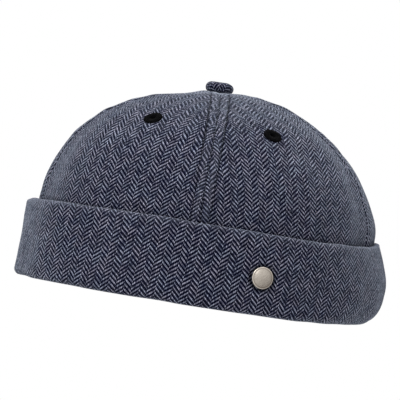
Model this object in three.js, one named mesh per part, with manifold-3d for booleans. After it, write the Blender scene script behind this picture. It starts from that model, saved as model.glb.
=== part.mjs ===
// A brimless docker cap of herringbone tweed, in millimetres.
// Six sewn gores make a round crown, an embroidered eyelet sits in each gore and a covered button
// closes the top. A folded band passes under the crown's lower edge and is turned up round it as a
// cuff, which carries one riveted metal stud. +Z is up and the front seam faces -Y.
// Angles round the cap are degrees from the front seam, positive towards the wearer's left, +X.
import * as THREE from "three";
import { mergeVertices } from "three/addons/utils/BufferGeometryUtils.js";
import Module from "manifold-3d";

const wasm = await Module();
wasm.setup();

// The crown's outer face: a superellipse in plan, a superellipse again in height.
const CROWN = {
  centreX: -1.2,
  halfWidth: 87.1,
  halfLength: 97,
  planPower: 2.1,
  shoulderHeight: 38,
  rise: 69.5,
  domePower: 2.1,
  wall: 1.8,
  lowerEdge: 10,
};
// Where the six seams meet, off the crown's middle because the soft cloth leans.
const POLE = { x: -3.9, y: 0, tipRadius: 3 };
const GAP = 0.3;

// Seams of the crown, by the angle at which each one reaches the lower edge.
const SEAMS = [
  { name: "front", angle: 0 },
  { name: "side_left", angle: 73 },
  { name: "rear_left", angle: 127 },
  { name: "back", angle: 180 },
  { name: "rear_right", angle: 233 },
  { name: "side_right", angle: 286 },
];
// Gores between one seam and the next, with the angle of the eyelet in each.
const GORES = [
  { name: "panel_front_left", eyelet: "eyelet_front_left", eyeletAngle: 25.2 },
  { name: "panel_side_left", eyelet: "eyelet_side_left", eyeletAngle: 107 },
  { name: "panel_back_left", eyelet: "eyelet_back_left", eyeletAngle: 152 },
  { name: "panel_back_right", eyelet: "eyelet_back_right", eyeletAngle: 208 },
  { name: "panel_side_right", eyelet: "eyelet_side_right", eyeletAngle: 253 },
  { name: "panel_front_right", eyelet: "eyelet_front_right", eyeletAngle: 331 },
];
// Where the eyelets sit, as a share of the way from the pole to the crown's outer wall.
const EYELET_REACH = 0.725;

// Soft swells and hollows of the crown: the middle of each, its reach along each axis, and its rise.
const SWELLS = [
  { x: -3.7, y: 0, z: 107, alongX: 9, alongY: 9, alongZ: 30, rise: 0.7 },
  { x: 29.6, y: 0, z: 105, alongX: 24, alongY: 40, alongZ: 30, rise: 1.4 },
  { x: -27.4, y: 0, z: 105, alongX: 17, alongY: 34, alongZ: 30, rise: -1.2 },
  { x: 85.6, y: 0, z: 51, alongX: 20, alongY: 34, alongZ: 7, rise: 1.1 },
  { x: 75.6, y: 0, z: 69, alongX: 14, alongY: 34, alongZ: 11, rise: -0.7 },
  { x: -60.4, y: -45, z: 84, alongX: 22, alongY: 22, alongZ: 22, rise: 0.6 },
  { x: 57, y: 0, z: 92, alongX: 20, alongY: 40, alongZ: 16, rise: -0.7 },
  { x: -82, y: 0, z: 67, alongX: 12, alongY: 40, alongZ: 20, rise: -0.8 },
  { x: 49.6, y: -62, z: 74, alongX: 16, alongY: 16, alongZ: 20, rise: -0.8 },
  { x: 7.6, y: 52, z: 98, alongX: 26, alongY: 20, alongZ: 26, rise: -0.8 },
  { x: -52.4, y: 58, z: 72, alongX: 18, alongY: 18, alongZ: 20, rise: 0.7 },
];
// The cloth lies a little hollow beside each stiff seam.
const SEAM_HOLLOW = { distance: 15, spread: 8, depth: 0.7 };

// The cuff by angle. height: top edge. lift: lower edge above the ground. Offsets from the crown's
// outer wall: foot where the lower corner starts, low and high on the face, top at the fold.
// fold: radius of the top fold. out and up: reach of the rounded lower corner.
const CUFF = [
  { angle: -90, height: 39.0, lift: 0, foot: 7.0, low: 6.4, high: 6.1, top: 6.1, fold: 2.1, out: 3, up: 3 },
  { angle: -50, height: 39.8, lift: 0, foot: 6.5, low: 6.2, high: 5.8, top: 5.6, fold: 1.9, out: 3, up: 3 },
  { angle: 0, height: 40.1, lift: 0, foot: 6.3, low: 6.5, high: 5.9, top: 5.2, fold: 1.8, out: 3, up: 3 },
  { angle: 22, height: 39.6, lift: 0, foot: 6.2, low: 6.6, high: 6.0, top: 5.0, fold: 1.8, out: 3, up: 3 },
  { angle: 42, height: 39.7, lift: 0.2, foot: 6.7, low: 7.1, high: 6.3, top: 4.6, fold: 1.7, out: 4, up: 4 },
  { angle: 66, height: 40.9, lift: 1.4, foot: 8.1, low: 8.2, high: 6.6, top: 4.0, fold: 1.4, out: 6, up: 9 },
  { angle: 90, height: 43.7, lift: 2.5, foot: 9.4, low: 8.9, high: 6.5, top: 3.5, fold: 1.2, out: 9, up: 13 },
  { angle: 116, height: 42.7, lift: 1.5, foot: 8.5, low: 8.3, high: 6.5, top: 4.1, fold: 1.4, out: 6, up: 9 },
  { angle: 150, height: 41.0, lift: 0.2, foot: 6.9, low: 7.1, high: 6.2, top: 5.0, fold: 1.7, out: 4, up: 4 },
  { angle: 180, height: 40.6, lift: 0, foot: 6.3, low: 6.6, high: 6.0, top: 5.3, fold: 1.8, out: 3, up: 3 },
  { angle: 225, height: 40.2, lift: 0, foot: 6.6, low: 6.4, high: 5.9, top: 5.7, fold: 1.9, out: 3, up: 3 },
];
// Heights on the cuff's face where its offsets hold, as shares of the way from its corner to its fold.
const FACE = [
  { offset: "foot", share: 0 },
  { offset: "low", share: 0.33 },
  { offset: "high", share: 0.68 },
  { offset: "top", share: 1 },
];
const BAND = { wall: 3, floor: 2.2, leg: 2, innerRadius: 1.4, leastCorner: 0.6, clear: 0.8 };

const EYELET = { outer: 4.7, hole: 1.5, stem: 2.4, raised: 1.1, behind: 0.5 };
const BUTTON = { radius: 7.3, height: 5, shank: 2.2, backRadius: 5, back: 1 };
const STUD = { angle: 19.9, height: 18.4, radius: 5.6, dome: 1.5, post: 1.2, backRadius: 2.6, back: 0.6 };
// Rounded tops, from the rim inwards: share of the radius, share of the height above the rim.
const EYELET_TOP = [
  { radius: 0.94, height: 0.75 },
  { radius: 0.66, height: 1.27 },
  { radius: 0.43, height: 1 },
  { radius: 0.32, height: 0.5 },
];
const BUTTON_TOP = [
  { radius: 0.81, height: 0 },
  { radius: 0.96, height: 0.24 },
  { radius: 1, height: 0.45 },
  { radius: 0.95, height: 0.66 },
  { radius: 0.8, height: 0.86 },
  { radius: 0.5, height: 0.97 },
  { radius: 0, height: 1 },
];
const STUD_TOP = [
  { radius: 0.96, height: 0 },
  { radius: 1, height: 0.23 },
  { radius: 0.98, height: 0.47 },
  { radius: 0.89, height: 0.63 },
  { radius: 0.6, height: 0.88 },
  { radius: 0, height: 1 },
];

// How finely the faces are divided.
const GORE_STEPS = { across: 12, dome: 13, wall: 3 };
const CUFF_STEPS = 70;
const RING_STEPS = 16;
const BUTTON_STEPS = 24;
const CORNER_TURNS = [0, 30, 60, 90];
const FOLD_TURNS = [45, 90, 135];
// Steps over which slopes are measured: degrees round the cap, share of reach, millimetres of drop.
const SLOPE = { angle: 0.4, reach: 0.004, leastReach: 0.02, drop: 0.4 };
// Shares of a radius round the pole at which the crown's height is looked up.
const SPAN_SHARES = [0.3, 0.6, 1];
const CUTTER_LENGTH = 14;
const WELD = 1e-4;

const FELT_BLACK = { color: 0x0d0d10, roughness: 0.85, metalness: 0 };
const TWEED = { color: 0x4a5068, roughness: 0.95, metalness: 0 };
const NICKEL = { color: 0xb9b2a6, roughness: 0.35, metalness: 1 };

const radians = THREE.MathUtils.degToRad;
const signedPower = (value, power) => Math.sign(value) * Math.abs(value) ** power;
const inPlan = (angle) => angle - 360 * Math.floor((angle + 90) / 360);

// The crown's outer wall in plan, seen from above.
function planPoint(angle) {
  const t = radians(angle);
  const power = 2 / CROWN.planPower;
  return new THREE.Vector2(
    CROWN.centreX + CROWN.halfWidth * signedPower(Math.sin(t), power),
    -CROWN.halfLength * signedPower(Math.cos(t), power),
  );
}

function planNormal(angle) {
  const along = planPoint(angle + SLOPE.angle).sub(planPoint(angle - SLOPE.angle)).normalize();
  return new THREE.Vector2(along.y, -along.x);
}

// Share of the way from the crown's middle to its outer wall, in plan.
function reachOf(x, y) {
  const across = Math.abs((x - CROWN.centreX) / CROWN.halfWidth) ** CROWN.planPower;
  const along = Math.abs(y / CROWN.halfLength) ** CROWN.planPower;
  return (across + along) ** (1 / CROWN.planPower);
}

// The smooth crown: reach runs from 0 at the pole to 1 at the outer wall, then drop goes down it.
function smoothCrown(angle, reach, drop) {
  const rim = planPoint(angle);
  const pull = (1 - reach) ** 2;
  const away = 1 - reach;
  const x = CROWN.centreX * away + rim.x * reach + POLE.x * pull;
  const y = rim.y * reach + POLE.y * pull;
  const flat = Math.max(0, 1 - Math.min(1, reachOf(x, y)) ** CROWN.domePower);
  const z = CROWN.shoulderHeight + CROWN.rise * flat ** (1 / CROWN.domePower) - drop;
  return new THREE.Vector3(x, y, z);
}

// Distance in plan from the nearest seam.
function seamDistance(point, reach) {
  return Math.min(
    ...SEAMS.map((seam) => {
      const onSeam = smoothCrown(seam.angle, Math.max(reach, SLOPE.leastReach), 0);
      return Math.hypot(point.x - onSeam.x, point.y - onSeam.y);
    }),
  );
}

function swellAt(point, reach) {
  const swell = SWELLS.reduce((sum, s) => {
    const across = (point.x - s.x) / s.alongX;
    const along = (point.y - s.y) / s.alongY;
    const up = (point.z - s.z) / s.alongZ;
    return sum + s.rise * Math.exp(-(across ** 2 + along ** 2 + up ** 2));
  }, 0);
  const beside = (seamDistance(point, reach) - SEAM_HOLLOW.distance) / SEAM_HOLLOW.spread;
  return swell - SEAM_HOLLOW.depth * reach * Math.exp(-(beside ** 2));
}

// A point of the crown, `depth` under its outer face.
function crownPoint(angle, reach, drop, depth) {
  const here = smoothCrown(angle, reach, drop);
  const turn = smoothCrown(angle + SLOPE.angle, reach, drop);
  turn.sub(smoothCrown(angle - SLOPE.angle, reach, drop));
  const lower = drop > 0 ? 1 : Math.min(1, reach + SLOPE.reach);
  const down = smoothCrown(angle, lower, drop + (lower === 1 ? SLOPE.drop : 0));
  const upper = smoothCrown(angle, Math.max(SLOPE.leastReach, reach - SLOPE.reach), drop);
  const normal = turn.cross(down.sub(upper)).normalize().negate();
  return here.addScaledVector(normal, swellAt(here, reach) * fadeAtEdge(drop) - depth);
}

// Swells fade out down the straight wall, where the cuff holds the crown.
function fadeAtEdge(drop) {
  return Math.max(0, 1 - drop / (CROWN.shoulderHeight - CROWN.lowerEdge));
}

// Rows of a gore from its tip to its lower edge.
function goreRows() {
  const rows = [];
  const tip = POLE.tipRadius / CROWN.halfWidth;
  const start = Math.asin(tip ** (CROWN.domePower / 2));
  for (let i = 0; i <= GORE_STEPS.dome; i++) {
    const turn = start + ((Math.PI / 2 - start) * i) / GORE_STEPS.dome;
    rows.push({ reach: Math.min(1, Math.sin(turn) ** (2 / CROWN.domePower)), drop: 0 });
  }
  for (let i = 1; i <= GORE_STEPS.wall; i++) {
    const drop = ((CROWN.shoulderHeight - CROWN.lowerEdge) * i) / GORE_STEPS.wall;
    rows.push({ reach: 1, drop });
  }
  return rows;
}

// A closed shell over a grid of outer points and the matching inner points.
function shellGeometry(outer, inner) {
  const rows = outer.length;
  const columns = outer[0].length;
  const points = [...outer.flat(), ...inner.flat()];
  const at = (side, i, j) => side * rows * columns + i * columns + j;
  const faces = [];
  const quad = (a, b, c, d) => faces.push(a, b, c, a, c, d);
  for (let i = 0; i + 1 < rows; i++) {
    for (let j = 0; j + 1 < columns; j++) {
      quad(at(0, i, j), at(0, i + 1, j), at(0, i + 1, j + 1), at(0, i, j + 1));
      quad(at(1, i, j), at(1, i, j + 1), at(1, i + 1, j + 1), at(1, i + 1, j));
    }
    quad(at(0, i, 0), at(1, i, 0), at(1, i + 1, 0), at(0, i + 1, 0));
    const last = columns - 1;
    quad(at(0, i, last), at(0, i + 1, last), at(1, i + 1, last), at(1, i, last));
  }
  for (let j = 0; j + 1 < columns; j++) {
    const last = rows - 1;
    quad(at(0, 0, j), at(0, 0, j + 1), at(1, 0, j + 1), at(1, 0, j));
    quad(at(0, last, j), at(1, last, j), at(1, last, j + 1), at(0, last, j + 1));
  }
  return geometryOf(points, faces);
}

function geometryOf(points, faces) {
  const positions = new Float32Array(points.flatMap((p) => [p.x, p.y, p.z]));
  return new THREE.BufferGeometry()
    .setAttribute("position", new THREE.BufferAttribute(positions, 3))
    .setIndex(faces);
}

function solidOf(geometry) {
  const bare = geometry.clone();
  bare.deleteAttribute("normal");
  bare.deleteAttribute("uv");
  const merged = mergeVertices(bare, WELD);
  return new wasm.Manifold(
    new wasm.Mesh({
      numProp: 3,
      vertProperties: new Float32Array(merged.attributes.position.array),
      triVerts: new Uint32Array(merged.index.array),
    }),
  );
}

function geometryFrom(solid) {
  const mesh = solid.getMesh();
  return new THREE.BufferGeometry()
    .setAttribute("position", new THREE.BufferAttribute(new Float32Array(mesh.vertProperties), 3))
    .setIndex([...mesh.triVerts]);
}

// A round solid about the Z axis from its profile, given as pairs of radius and height.
function turned(profile, steps) {
  const points = profile.map(([radius, height]) => new THREE.Vector2(radius, height));
  return new THREE.LatheGeometry(points, steps).rotateX(Math.PI / 2);
}

// Turns a geometry from the Z axis to `direction` and moves it to `place`.
function seated(geometry, place, direction) {
  const turn = new THREE.Quaternion().setFromUnitVectors(new THREE.Vector3(0, 0, 1), direction);
  return geometry.applyQuaternion(turn).translate(place.x, place.y, place.z);
}

function cutterAt(place, direction, radius) {
  const bar = new THREE.CylinderGeometry(radius, radius, CUTTER_LENGTH, RING_STEPS);
  bar.rotateX(Math.PI / 2);
  return solidOf(seated(bar, place, direction));
}

// One sewn gore of the crown, with the hole for its eyelet.
function goreGeometry(from, to, eyeletPlace) {
  const grid = (depth) =>
    goreRows().map(({ reach, drop }) => {
      const inset = THREE.MathUtils.radToDeg(GAP / 2 / (reach * CROWN.halfWidth));
      return Array.from({ length: GORE_STEPS.across + 1 }, (_, j) => {
        const angle = from + inset + ((to - from - 2 * inset) * j) / GORE_STEPS.across;
        return crownPoint(angle, reach, drop, depth);
      });
    });
  const shell = solidOf(shellGeometry(grid(0), grid(CROWN.wall)));
  const hole = cutterAt(eyeletPlace.point, eyeletPlace.normal, EYELET.stem + GAP);
  return geometryFrom(shell.subtract(hole));
}

// Where an eyelet sits on the crown, and the way it faces.
function eyeletSeat(angle) {
  const point = crownPoint(angle, EYELET_REACH, 0, 0);
  const normal = point.clone().sub(crownPoint(angle, EYELET_REACH, 0, CROWN.wall)).normalize();
  return { point, normal };
}

// Profile points of a rounded top: from its table, its radius, and its rim's and its own height.
function topProfile(table, radius, rim, height) {
  return table.map((row) => [row.radius * radius, rim + row.height * height]);
}

// An embroidered eyelet: a raised ring with a stem through the gore.
function eyeletGeometry() {
  const { outer, hole, stem, raised, behind } = EYELET;
  const bottom = -CROWN.wall - behind;
  return turned(
    [
      [hole, bottom],
      [stem, bottom],
      [stem, GAP],
      [outer, GAP],
      ...topProfile(EYELET_TOP, outer, 0, raised),
      [hole, bottom],
    ],
    RING_STEPS,
  );
}

// Heights of the crown within a distance of its pole: the highest of its outer face and the lowest
// of its inner face.
function crownSpan(distance) {
  const heights = (depth) =>
    SEAMS.flatMap(({ angle }) =>
      SPAN_SHARES.map((share) => {
        const reach = (distance * share) / CROWN.halfWidth;
        return crownPoint(angle, reach, 0, depth).z;
      }),
    );
  return { highest: Math.max(...heights(0)), lowest: Math.min(...heights(CROWN.wall)) };
}

// The cloth-covered button, its shank between the tips of the gores, and the disc behind them.
function buttonGeometry() {
  const { radius, height, shank, backRadius, back } = BUTTON;
  const seat = crownSpan(radius).highest + GAP;
  const under = crownSpan(backRadius).lowest - GAP;
  return turned(
    [
      [0, under - back],
      [backRadius, under - back],
      [backRadius, under],
      [shank, under],
      [shank, seat],
      ...topProfile(BUTTON_TOP, radius, seat, height),
    ],
    BUTTON_STEPS,
  );
}

// The domed stud, its post through the cuff and the rivet plate behind it.
function studGeometry() {
  const { radius, dome, post, backRadius, back } = STUD;
  const under = -BAND.wall - GAP;
  return turned(
    [
      [0, under - back],
      [backRadius, under - back],
      [backRadius, under],
      [post, under],
      [post, GAP],
      ...topProfile(STUD_TOP, radius, GAP, dome),
    ],
    BUTTON_STEPS,
  );
}

// The row of the cuff's table at an angle, smoothly between the rows that it holds.
function cuffRow(angle) {
  const a = inPlan(angle);
  const count = CUFF.length;
  let k = CUFF.findLastIndex((row) => row.angle <= a);
  if (k < 0) k = count - 1;
  const row = (i) => {
    const turns = Math.floor(i / count);
    const found = CUFF[i - turns * count];
    return { ...found, angle: found.angle + 360 * turns };
  };
  const [before, first, second, after] = [row(k - 1), row(k), row(k + 1), row(k + 2)];
  const span = second.angle - first.angle;
  const t = (a - first.angle) / span;
  const smooth = (key) => {
    const slopeIn = ((second[key] - before[key]) / (second.angle - before.angle)) * span;
    const slopeOut = ((after[key] - first[key]) / (after.angle - first.angle)) * span;
    const t2 = t * t;
    const t3 = t2 * t;
    return (
      (2 * t3 - 3 * t2 + 1) * first[key] +
      (t3 - 2 * t2 + t) * slopeIn +
      (3 * t2 - 2 * t3) * second[key] +
      (t3 - t2) * slopeOut
    );
  };
  const keys = ["height", "foot", "low", "high", "top", "fold", "out", "up"];
  const made = Object.fromEntries(keys.map((key) => [key, smooth(key)]));
  return { ...made, lift: Math.max(0, smooth("lift")) };
}

// Heights of the face's rows, from the lower corner to the fold.
function faceHeights(row) {
  const foot = row.lift + row.up;
  return FACE.map(({ share }) => foot + (row.height - row.fold - foot) * share);
}

// The cuff's closed section at one angle: pairs of offset from the crown's outer wall and height.
// It runs down inside the crown, under its edge, up the outside, over the fold and back down.
function cuffSection(angle) {
  const c = cuffRow(angle);
  const legTop = CROWN.lowerEdge - GAP;
  const [foot, low, high, top] = faceHeights(c);
  // A quarter of an ellipse, from its lowest point out and up to its side.
  const corner = (side, bottom, out, up) =>
    CORNER_TURNS.map(radians).map((t) => [
      side - out * (1 - Math.sin(t)),
      bottom + up * (1 - Math.cos(t)),
    ]);
  const fold = FOLD_TURNS.map(radians).map((t) => [
    c.top - c.fold * (1 - Math.cos(t)),
    top + c.fold * Math.sin(t),
  ]);
  const bevel = BAND.innerRadius * (1 - Math.SQRT1_2);
  const floor = c.lift + BAND.floor;
  const inside = c.foot - BAND.wall;
  const insideUp = Math.max(BAND.leastCorner, c.up - BAND.floor);
  const insideOut = Math.max(BAND.leastCorner, Math.min(c.out, inside - BAND.clear));
  return [
    [-BAND.leg, legTop],
    [-BAND.leg, c.lift + BAND.innerRadius],
    [-BAND.leg + bevel, c.lift + bevel],
    [-BAND.leg + BAND.innerRadius, c.lift],
    ...corner(c.foot, c.lift, c.out, c.up),
    [c.low, low],
    [c.high, high],
    [c.top, top],
    ...fold,
    [c.top - 2 * c.fold, top],
    [c.high - BAND.wall / 2 - c.fold, high],
    [c.low - BAND.wall, low],
    ...corner(inside, floor, insideOut, insideUp).reverse(),
    [0, floor],
    [0, legTop],
  ];
}

function cuffPoint(angle, offset, height) {
  const wall = planPoint(angle).addScaledVector(planNormal(angle), offset);
  return new THREE.Vector3(wall.x, wall.y, height);
}

// The cuff's outer face at an angle and a height.
function cuffFace(angle, height) {
  const row = cuffRow(angle);
  const heights = faceHeights(row);
  const below = heights.findLastIndex((at) => at <= height);
  const k = THREE.MathUtils.clamp(below, 0, FACE.length - 2);
  const part = (height - heights[k]) / (heights[k + 1] - heights[k]);
  const offset = THREE.MathUtils.lerp(row[FACE[k].offset], row[FACE[k + 1].offset], part);
  return cuffPoint(angle, offset, height);
}

// Where the stud's plate lies on the cuff's outer face, and the way it faces.
function studSeat() {
  const { angle, height, radius } = STUD;
  const up = cuffFace(angle, height + radius).sub(cuffFace(angle, height - radius));
  const turn = cuffFace(angle + 1, height).sub(cuffFace(angle - 1, height));
  return { point: cuffFace(angle, height), normal: turn.cross(up).normalize() };
}

// The turned-up band as one ring, with the hole for the stud's post.
function cuffGeometry(seat) {
  const sections = Array.from({ length: CUFF_STEPS }, (_, i) => {
    const angle = (360 * i) / CUFF_STEPS;
    return cuffSection(angle).map(([offset, height]) => cuffPoint(angle, offset, height));
  });
  const corners = sections[0].length;
  const faces = [];
  for (let i = 0; i < CUFF_STEPS; i++) {
    const next = (i + 1) % CUFF_STEPS;
    for (let j = 0; j < corners; j++) {
      const a = i * corners + j;
      const b = next * corners + j;
      const c = next * corners + ((j + 1) % corners);
      const d = i * corners + ((j + 1) % corners);
      faces.push(a, b, c, a, c, d);
    }
  }
  const ring = solidOf(geometryOf(sections.flat(), faces));
  const outwards = CUTTER_LENGTH / 2 - BAND.wall - STUD.back - GAP;
  const middle = seat.point.clone().addScaledVector(seat.normal, outwards);
  return geometryFrom(ring.subtract(cutterAt(middle, seat.normal, STUD.post + GAP)));
}

function named(name, geometry, look) {
  const mesh = new THREE.Mesh(geometry, new THREE.MeshStandardMaterial(look));
  mesh.name = name;
  geometry.computeVertexNormals();
  return mesh;
}

const cap = new THREE.Group();
cap.name = "docker_cap";

const crown = new THREE.Group();
GORES.forEach((gore, i) => {
  const from = SEAMS[i].angle;
  const to = i + 1 < SEAMS.length ? SEAMS[i + 1].angle : 360;
  const seat = eyeletSeat(gore.eyeletAngle);
  crown.add(named(gore.name, goreGeometry(from, to, seat), TWEED));
  crown.add(named(gore.eyelet, seated(eyeletGeometry(), seat.point, seat.normal), FELT_BLACK));
});
cap.add(crown);

const pole = smoothCrown(0, 0, 0);
cap.add(named("button", buttonGeometry().translate(pole.x, pole.y, 0), TWEED));

const seat = studSeat();
cap.add(named("cuff", cuffGeometry(seat), TWEED));
cap.add(named("stud", seated(studGeometry(), seat.point, seat.normal), NICKEL));

export default cap;
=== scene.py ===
"""Looks of a brimless docker cap sewn from herringbone tweed.

Shapes are worked out in millimetres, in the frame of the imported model, and turned into metres
when a mesh is made. Angles round the cap are degrees from the front seam, positive towards +X.
"""

import logging
import math
from dataclasses import dataclass, field
from enum import Enum
from typing import Any, Callable, Mapping, Sequence

import bpy
import numpy as np
from mathutils import Matrix, Vector


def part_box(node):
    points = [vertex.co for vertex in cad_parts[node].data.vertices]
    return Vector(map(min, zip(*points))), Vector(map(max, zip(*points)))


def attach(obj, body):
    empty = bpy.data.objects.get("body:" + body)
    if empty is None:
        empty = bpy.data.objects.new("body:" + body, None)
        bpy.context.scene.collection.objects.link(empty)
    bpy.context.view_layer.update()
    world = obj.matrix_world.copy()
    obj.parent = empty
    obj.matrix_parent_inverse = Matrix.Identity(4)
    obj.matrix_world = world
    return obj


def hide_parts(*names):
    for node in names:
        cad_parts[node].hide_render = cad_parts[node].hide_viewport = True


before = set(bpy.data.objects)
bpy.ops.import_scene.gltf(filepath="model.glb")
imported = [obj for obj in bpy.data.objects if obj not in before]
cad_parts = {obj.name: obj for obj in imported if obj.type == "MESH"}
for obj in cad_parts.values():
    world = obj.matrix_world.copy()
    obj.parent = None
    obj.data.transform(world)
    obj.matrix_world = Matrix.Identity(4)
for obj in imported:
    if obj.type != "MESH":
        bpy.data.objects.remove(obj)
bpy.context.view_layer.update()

LOG = logging.getLogger("docker_cap")
MM = 0.001
QUARTER = math.pi / 2
FULL = 2 * math.pi
CLOTH = "cloth"
EYELET_SEED = 30
Array = np.ndarray
RGB = tuple[float, float, float]
Span = tuple[float, float]
Profile = tuple[tuple[float, float], ...]


class Slot(Enum):
    """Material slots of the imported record."""

    TWEED = "tweed"
    THREAD = "thread"
    METAL = "metal"


class Side(Enum):
    """The two seams of a gore, as seen from outside the cap with the button up."""

    FROM = "from"
    TO = "to"


# Shader graphs


Operator = Callable[["Signal", "Value"], "Signal"]


def forward(operation: str) -> Operator:
    """An operator with the signal on its left."""
    return lambda signal, other: signal.graph.math(operation, signal, other)


def reflected(operation: str) -> Operator:
    """An operator with the signal on its right, as in 1 - mask."""
    return lambda signal, other: signal.graph.math(operation, other, signal)


@dataclass(eq=False)
class Signal:
    """A value inside a shader graph, with arithmetic that adds Math nodes."""

    graph: "ShaderGraph"
    socket: bpy.types.NodeSocket

    __add__, __radd__ = forward("ADD"), reflected("ADD")
    __sub__, __rsub__ = forward("SUBTRACT"), reflected("SUBTRACT")
    __mul__, __rmul__ = forward("MULTIPLY"), reflected("MULTIPLY")
    __truediv__, __rtruediv__ = forward("DIVIDE"), reflected("DIVIDE")
    __mod__, __rmod__ = forward("FLOORED_MODULO"), reflected("FLOORED_MODULO")
    __pow__, __rpow__ = forward("POWER"), reflected("POWER")

    def __neg__(self) -> "Signal":
        """The value with its sign turned."""
        return self * -1.0


Value = Signal | float
Colour = Signal | RGB


@dataclass(frozen=True)
class Noise:
    """A layer of noise: lumps in a metre, finer layers, their strength, and where it is cut."""

    scale: float
    detail: float = 2.0
    rough: float = 0.5
    level: float = 0.0


class ShaderGraph:
    """Builds the nodes of one material or world."""

    def __init__(self, tree: bpy.types.NodeTree) -> None:
        """Starts from an empty tree."""
        self.tree = tree
        self.tree.nodes.clear()

    def feed(self, socket: bpy.types.NodeSocket, value: Any) -> None:
        """Links a signal to an input, or sets the input's own value.

        Args:
            socket: The input to fill.
            value: A signal, a number, or three numbers for a colour.
        """
        if isinstance(value, Signal):
            self.tree.links.new(value.socket, socket)
        else:
            socket.default_value = (*value, 1.0) if socket.type == "RGBA" else value

    def node(
        self,
        kind: str,
        settings: Mapping[str, Any] | None = None,
        inputs: Mapping[str | int, Any] | None = None,
    ) -> bpy.types.Node:
        """Adds a node.

        Args:
            kind: Blender's name of the node's type.
            settings: Properties of the node, set before its inputs.
            inputs: Values or signals by the input's name or number.

        Returns:
            The new node.
        """
        made = self.tree.nodes.new(kind)
        for key, setting in (settings or {}).items():
            setattr(made, key, setting)
        for key, value in (inputs or {}).items():
            self.feed(made.inputs[key], value)
        return made

    def out(self, kind: str, output: str | int, **parts: Mapping[Any, Any]) -> Signal:
        """Adds a node and returns one of its outputs as a signal."""
        return Signal(self, self.node(kind, **parts).outputs[output])

    def math(self, operation: str, *operands: Value) -> Signal:
        """Adds one step of arithmetic; operations on numbers alone are left to Python."""
        inputs = dict(enumerate(operands))
        return self.out("ShaderNodeMath", 0, settings={"operation": operation}, inputs=inputs)

    def floor(self, value: Value) -> Signal:
        """The whole number at or below a value."""
        return self.math("FLOOR", value)

    def fract(self, value: Value) -> Signal:
        """What is left of a value above its whole number."""
        return self.math("FRACT", value)

    def sine(self, value: Value) -> Signal:
        """Sine of an angle in radians."""
        return self.math("SINE", value)

    def maximum(self, first: Value, second: Value) -> Signal:
        """The greater of two values."""
        return self.math("MAXIMUM", first, second)

    def minimum(self, first: Value, second: Value) -> Signal:
        """The lesser of two values."""
        return self.math("MINIMUM", first, second)

    def smoothstep(self, span: Span, value: Value) -> Signal:
        """Rises smoothly from 0 at the span's start to 1 at its end.

        Args:
            span: Where the rise starts and ends.
            value: The value that runs over the span.

        Returns:
            The share of the rise.
        """
        settings = {"interpolation_type": "SMOOTHSTEP"}
        inputs = {"Value": value, "From Min": span[0], "From Max": span[1]}
        return self.out("ShaderNodeMapRange", "Result", settings=settings, inputs=inputs)

    def mix(self, share: Value, first: Colour, second: Colour) -> Signal:
        """Blends two colours.

        Args:
            share: How much of the second colour there is.
            first: The colour at share 0.
            second: The colour at share 1.

        Returns:
            The blend.
        """
        settings = {"data_type": "RGBA", "blend_type": "MIX", "clamp_factor": True}
        inputs = {0: share, 6: first, 7: second}
        return self.out("ShaderNodeMix", 2, settings=settings, inputs=inputs)

    def scale(self, vector: Signal, factor: Value) -> Signal:
        """A vector or colour times a number."""
        inputs = {0: vector, 3: factor}
        return self.out("ShaderNodeVectorMath", 0, settings={"operation": "SCALE"}, inputs=inputs)

    def tint(self, first: Signal, second: Signal) -> Signal:
        """One colour seen through another: their product."""
        inputs = {0: first, 1: second}
        return self.out("ShaderNodeVectorMath", 0, settings={"operation": "MULTIPLY"}, inputs=inputs)

    def vector(self, x: Value, y: Value, z: Value = 0.0) -> Signal:
        """A vector from its three parts."""
        return self.out("ShaderNodeCombineXYZ", 0, inputs={0: x, 1: y, 2: z})

    def split(self, vector: Signal) -> tuple[Signal, Signal, Signal]:
        """Takes a vector apart.

        Args:
            vector: A vector or colour.

        Returns:
            Its parts along X, Y and Z.
        """
        made = self.node("ShaderNodeSeparateXYZ", inputs={0: vector})
        x, y, z = (Signal(self, output) for output in made.outputs)
        return x, y, z

    def cloth(self) -> Signal:
        """Where a point lies on the cloth, in metres, with its fade as the third part."""
        return self.out("ShaderNodeAttribute", "Vector", settings={"attribute_name": CLOTH})

    def noise(self, place: Signal, layer: Noise) -> Signal:
        """Smooth noise about 0.5, read at a place in metres."""
        inputs = {
            "Vector": place,
            "Scale": layer.scale,
            "Detail": layer.detail,
            "Roughness": layer.rough,
        }
        return self.out("ShaderNodeTexNoise", 0, inputs=inputs)

    def layer(self, x: Value, y: Value, layer: Noise) -> Signal:
        """Noise over two coordinates, at the layer's own level."""
        return self.noise(self.vector(x, y, layer.level), layer)

    def random(self, number: Value) -> Signal:
        """A random value from 0 to 1 that depends on a number alone."""
        settings = {"noise_dimensions": "1D"}
        return self.out("ShaderNodeTexWhiteNoise", 0, settings=settings, inputs={"W": number})

    def bump(self, height: Value, depth: float) -> Signal:
        """A normal bent by a height; `depth` is the height of 1 in metres."""
        inputs = {"Strength": 1.0, "Distance": depth, "Height": height}
        return self.out("ShaderNodeBump", 0, inputs=inputs)

    def principled(self, inputs: Mapping[str, Any]) -> Signal:
        """A surface from the inputs of a Principled BSDF."""
        return self.out("ShaderNodeBsdfPrincipled", 0, inputs=inputs)

    def surface(self, shader: Signal) -> None:
        """Sends a shader to the tree's output."""
        output = "World" if isinstance(self.tree.id_data, bpy.types.World) else "Material"
        self.node(f"ShaderNodeOutput{output}", inputs={"Surface": shader})


def new_material(name: str) -> tuple[bpy.types.Material, ShaderGraph]:
    """Makes an empty material.

    Args:
        name: The material's name.

    Returns:
        The material, and the graph that fills it.
    """
    made = bpy.data.materials.new(name)
    made.use_nodes = True
    return made, ShaderGraph(made.node_tree)


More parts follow.
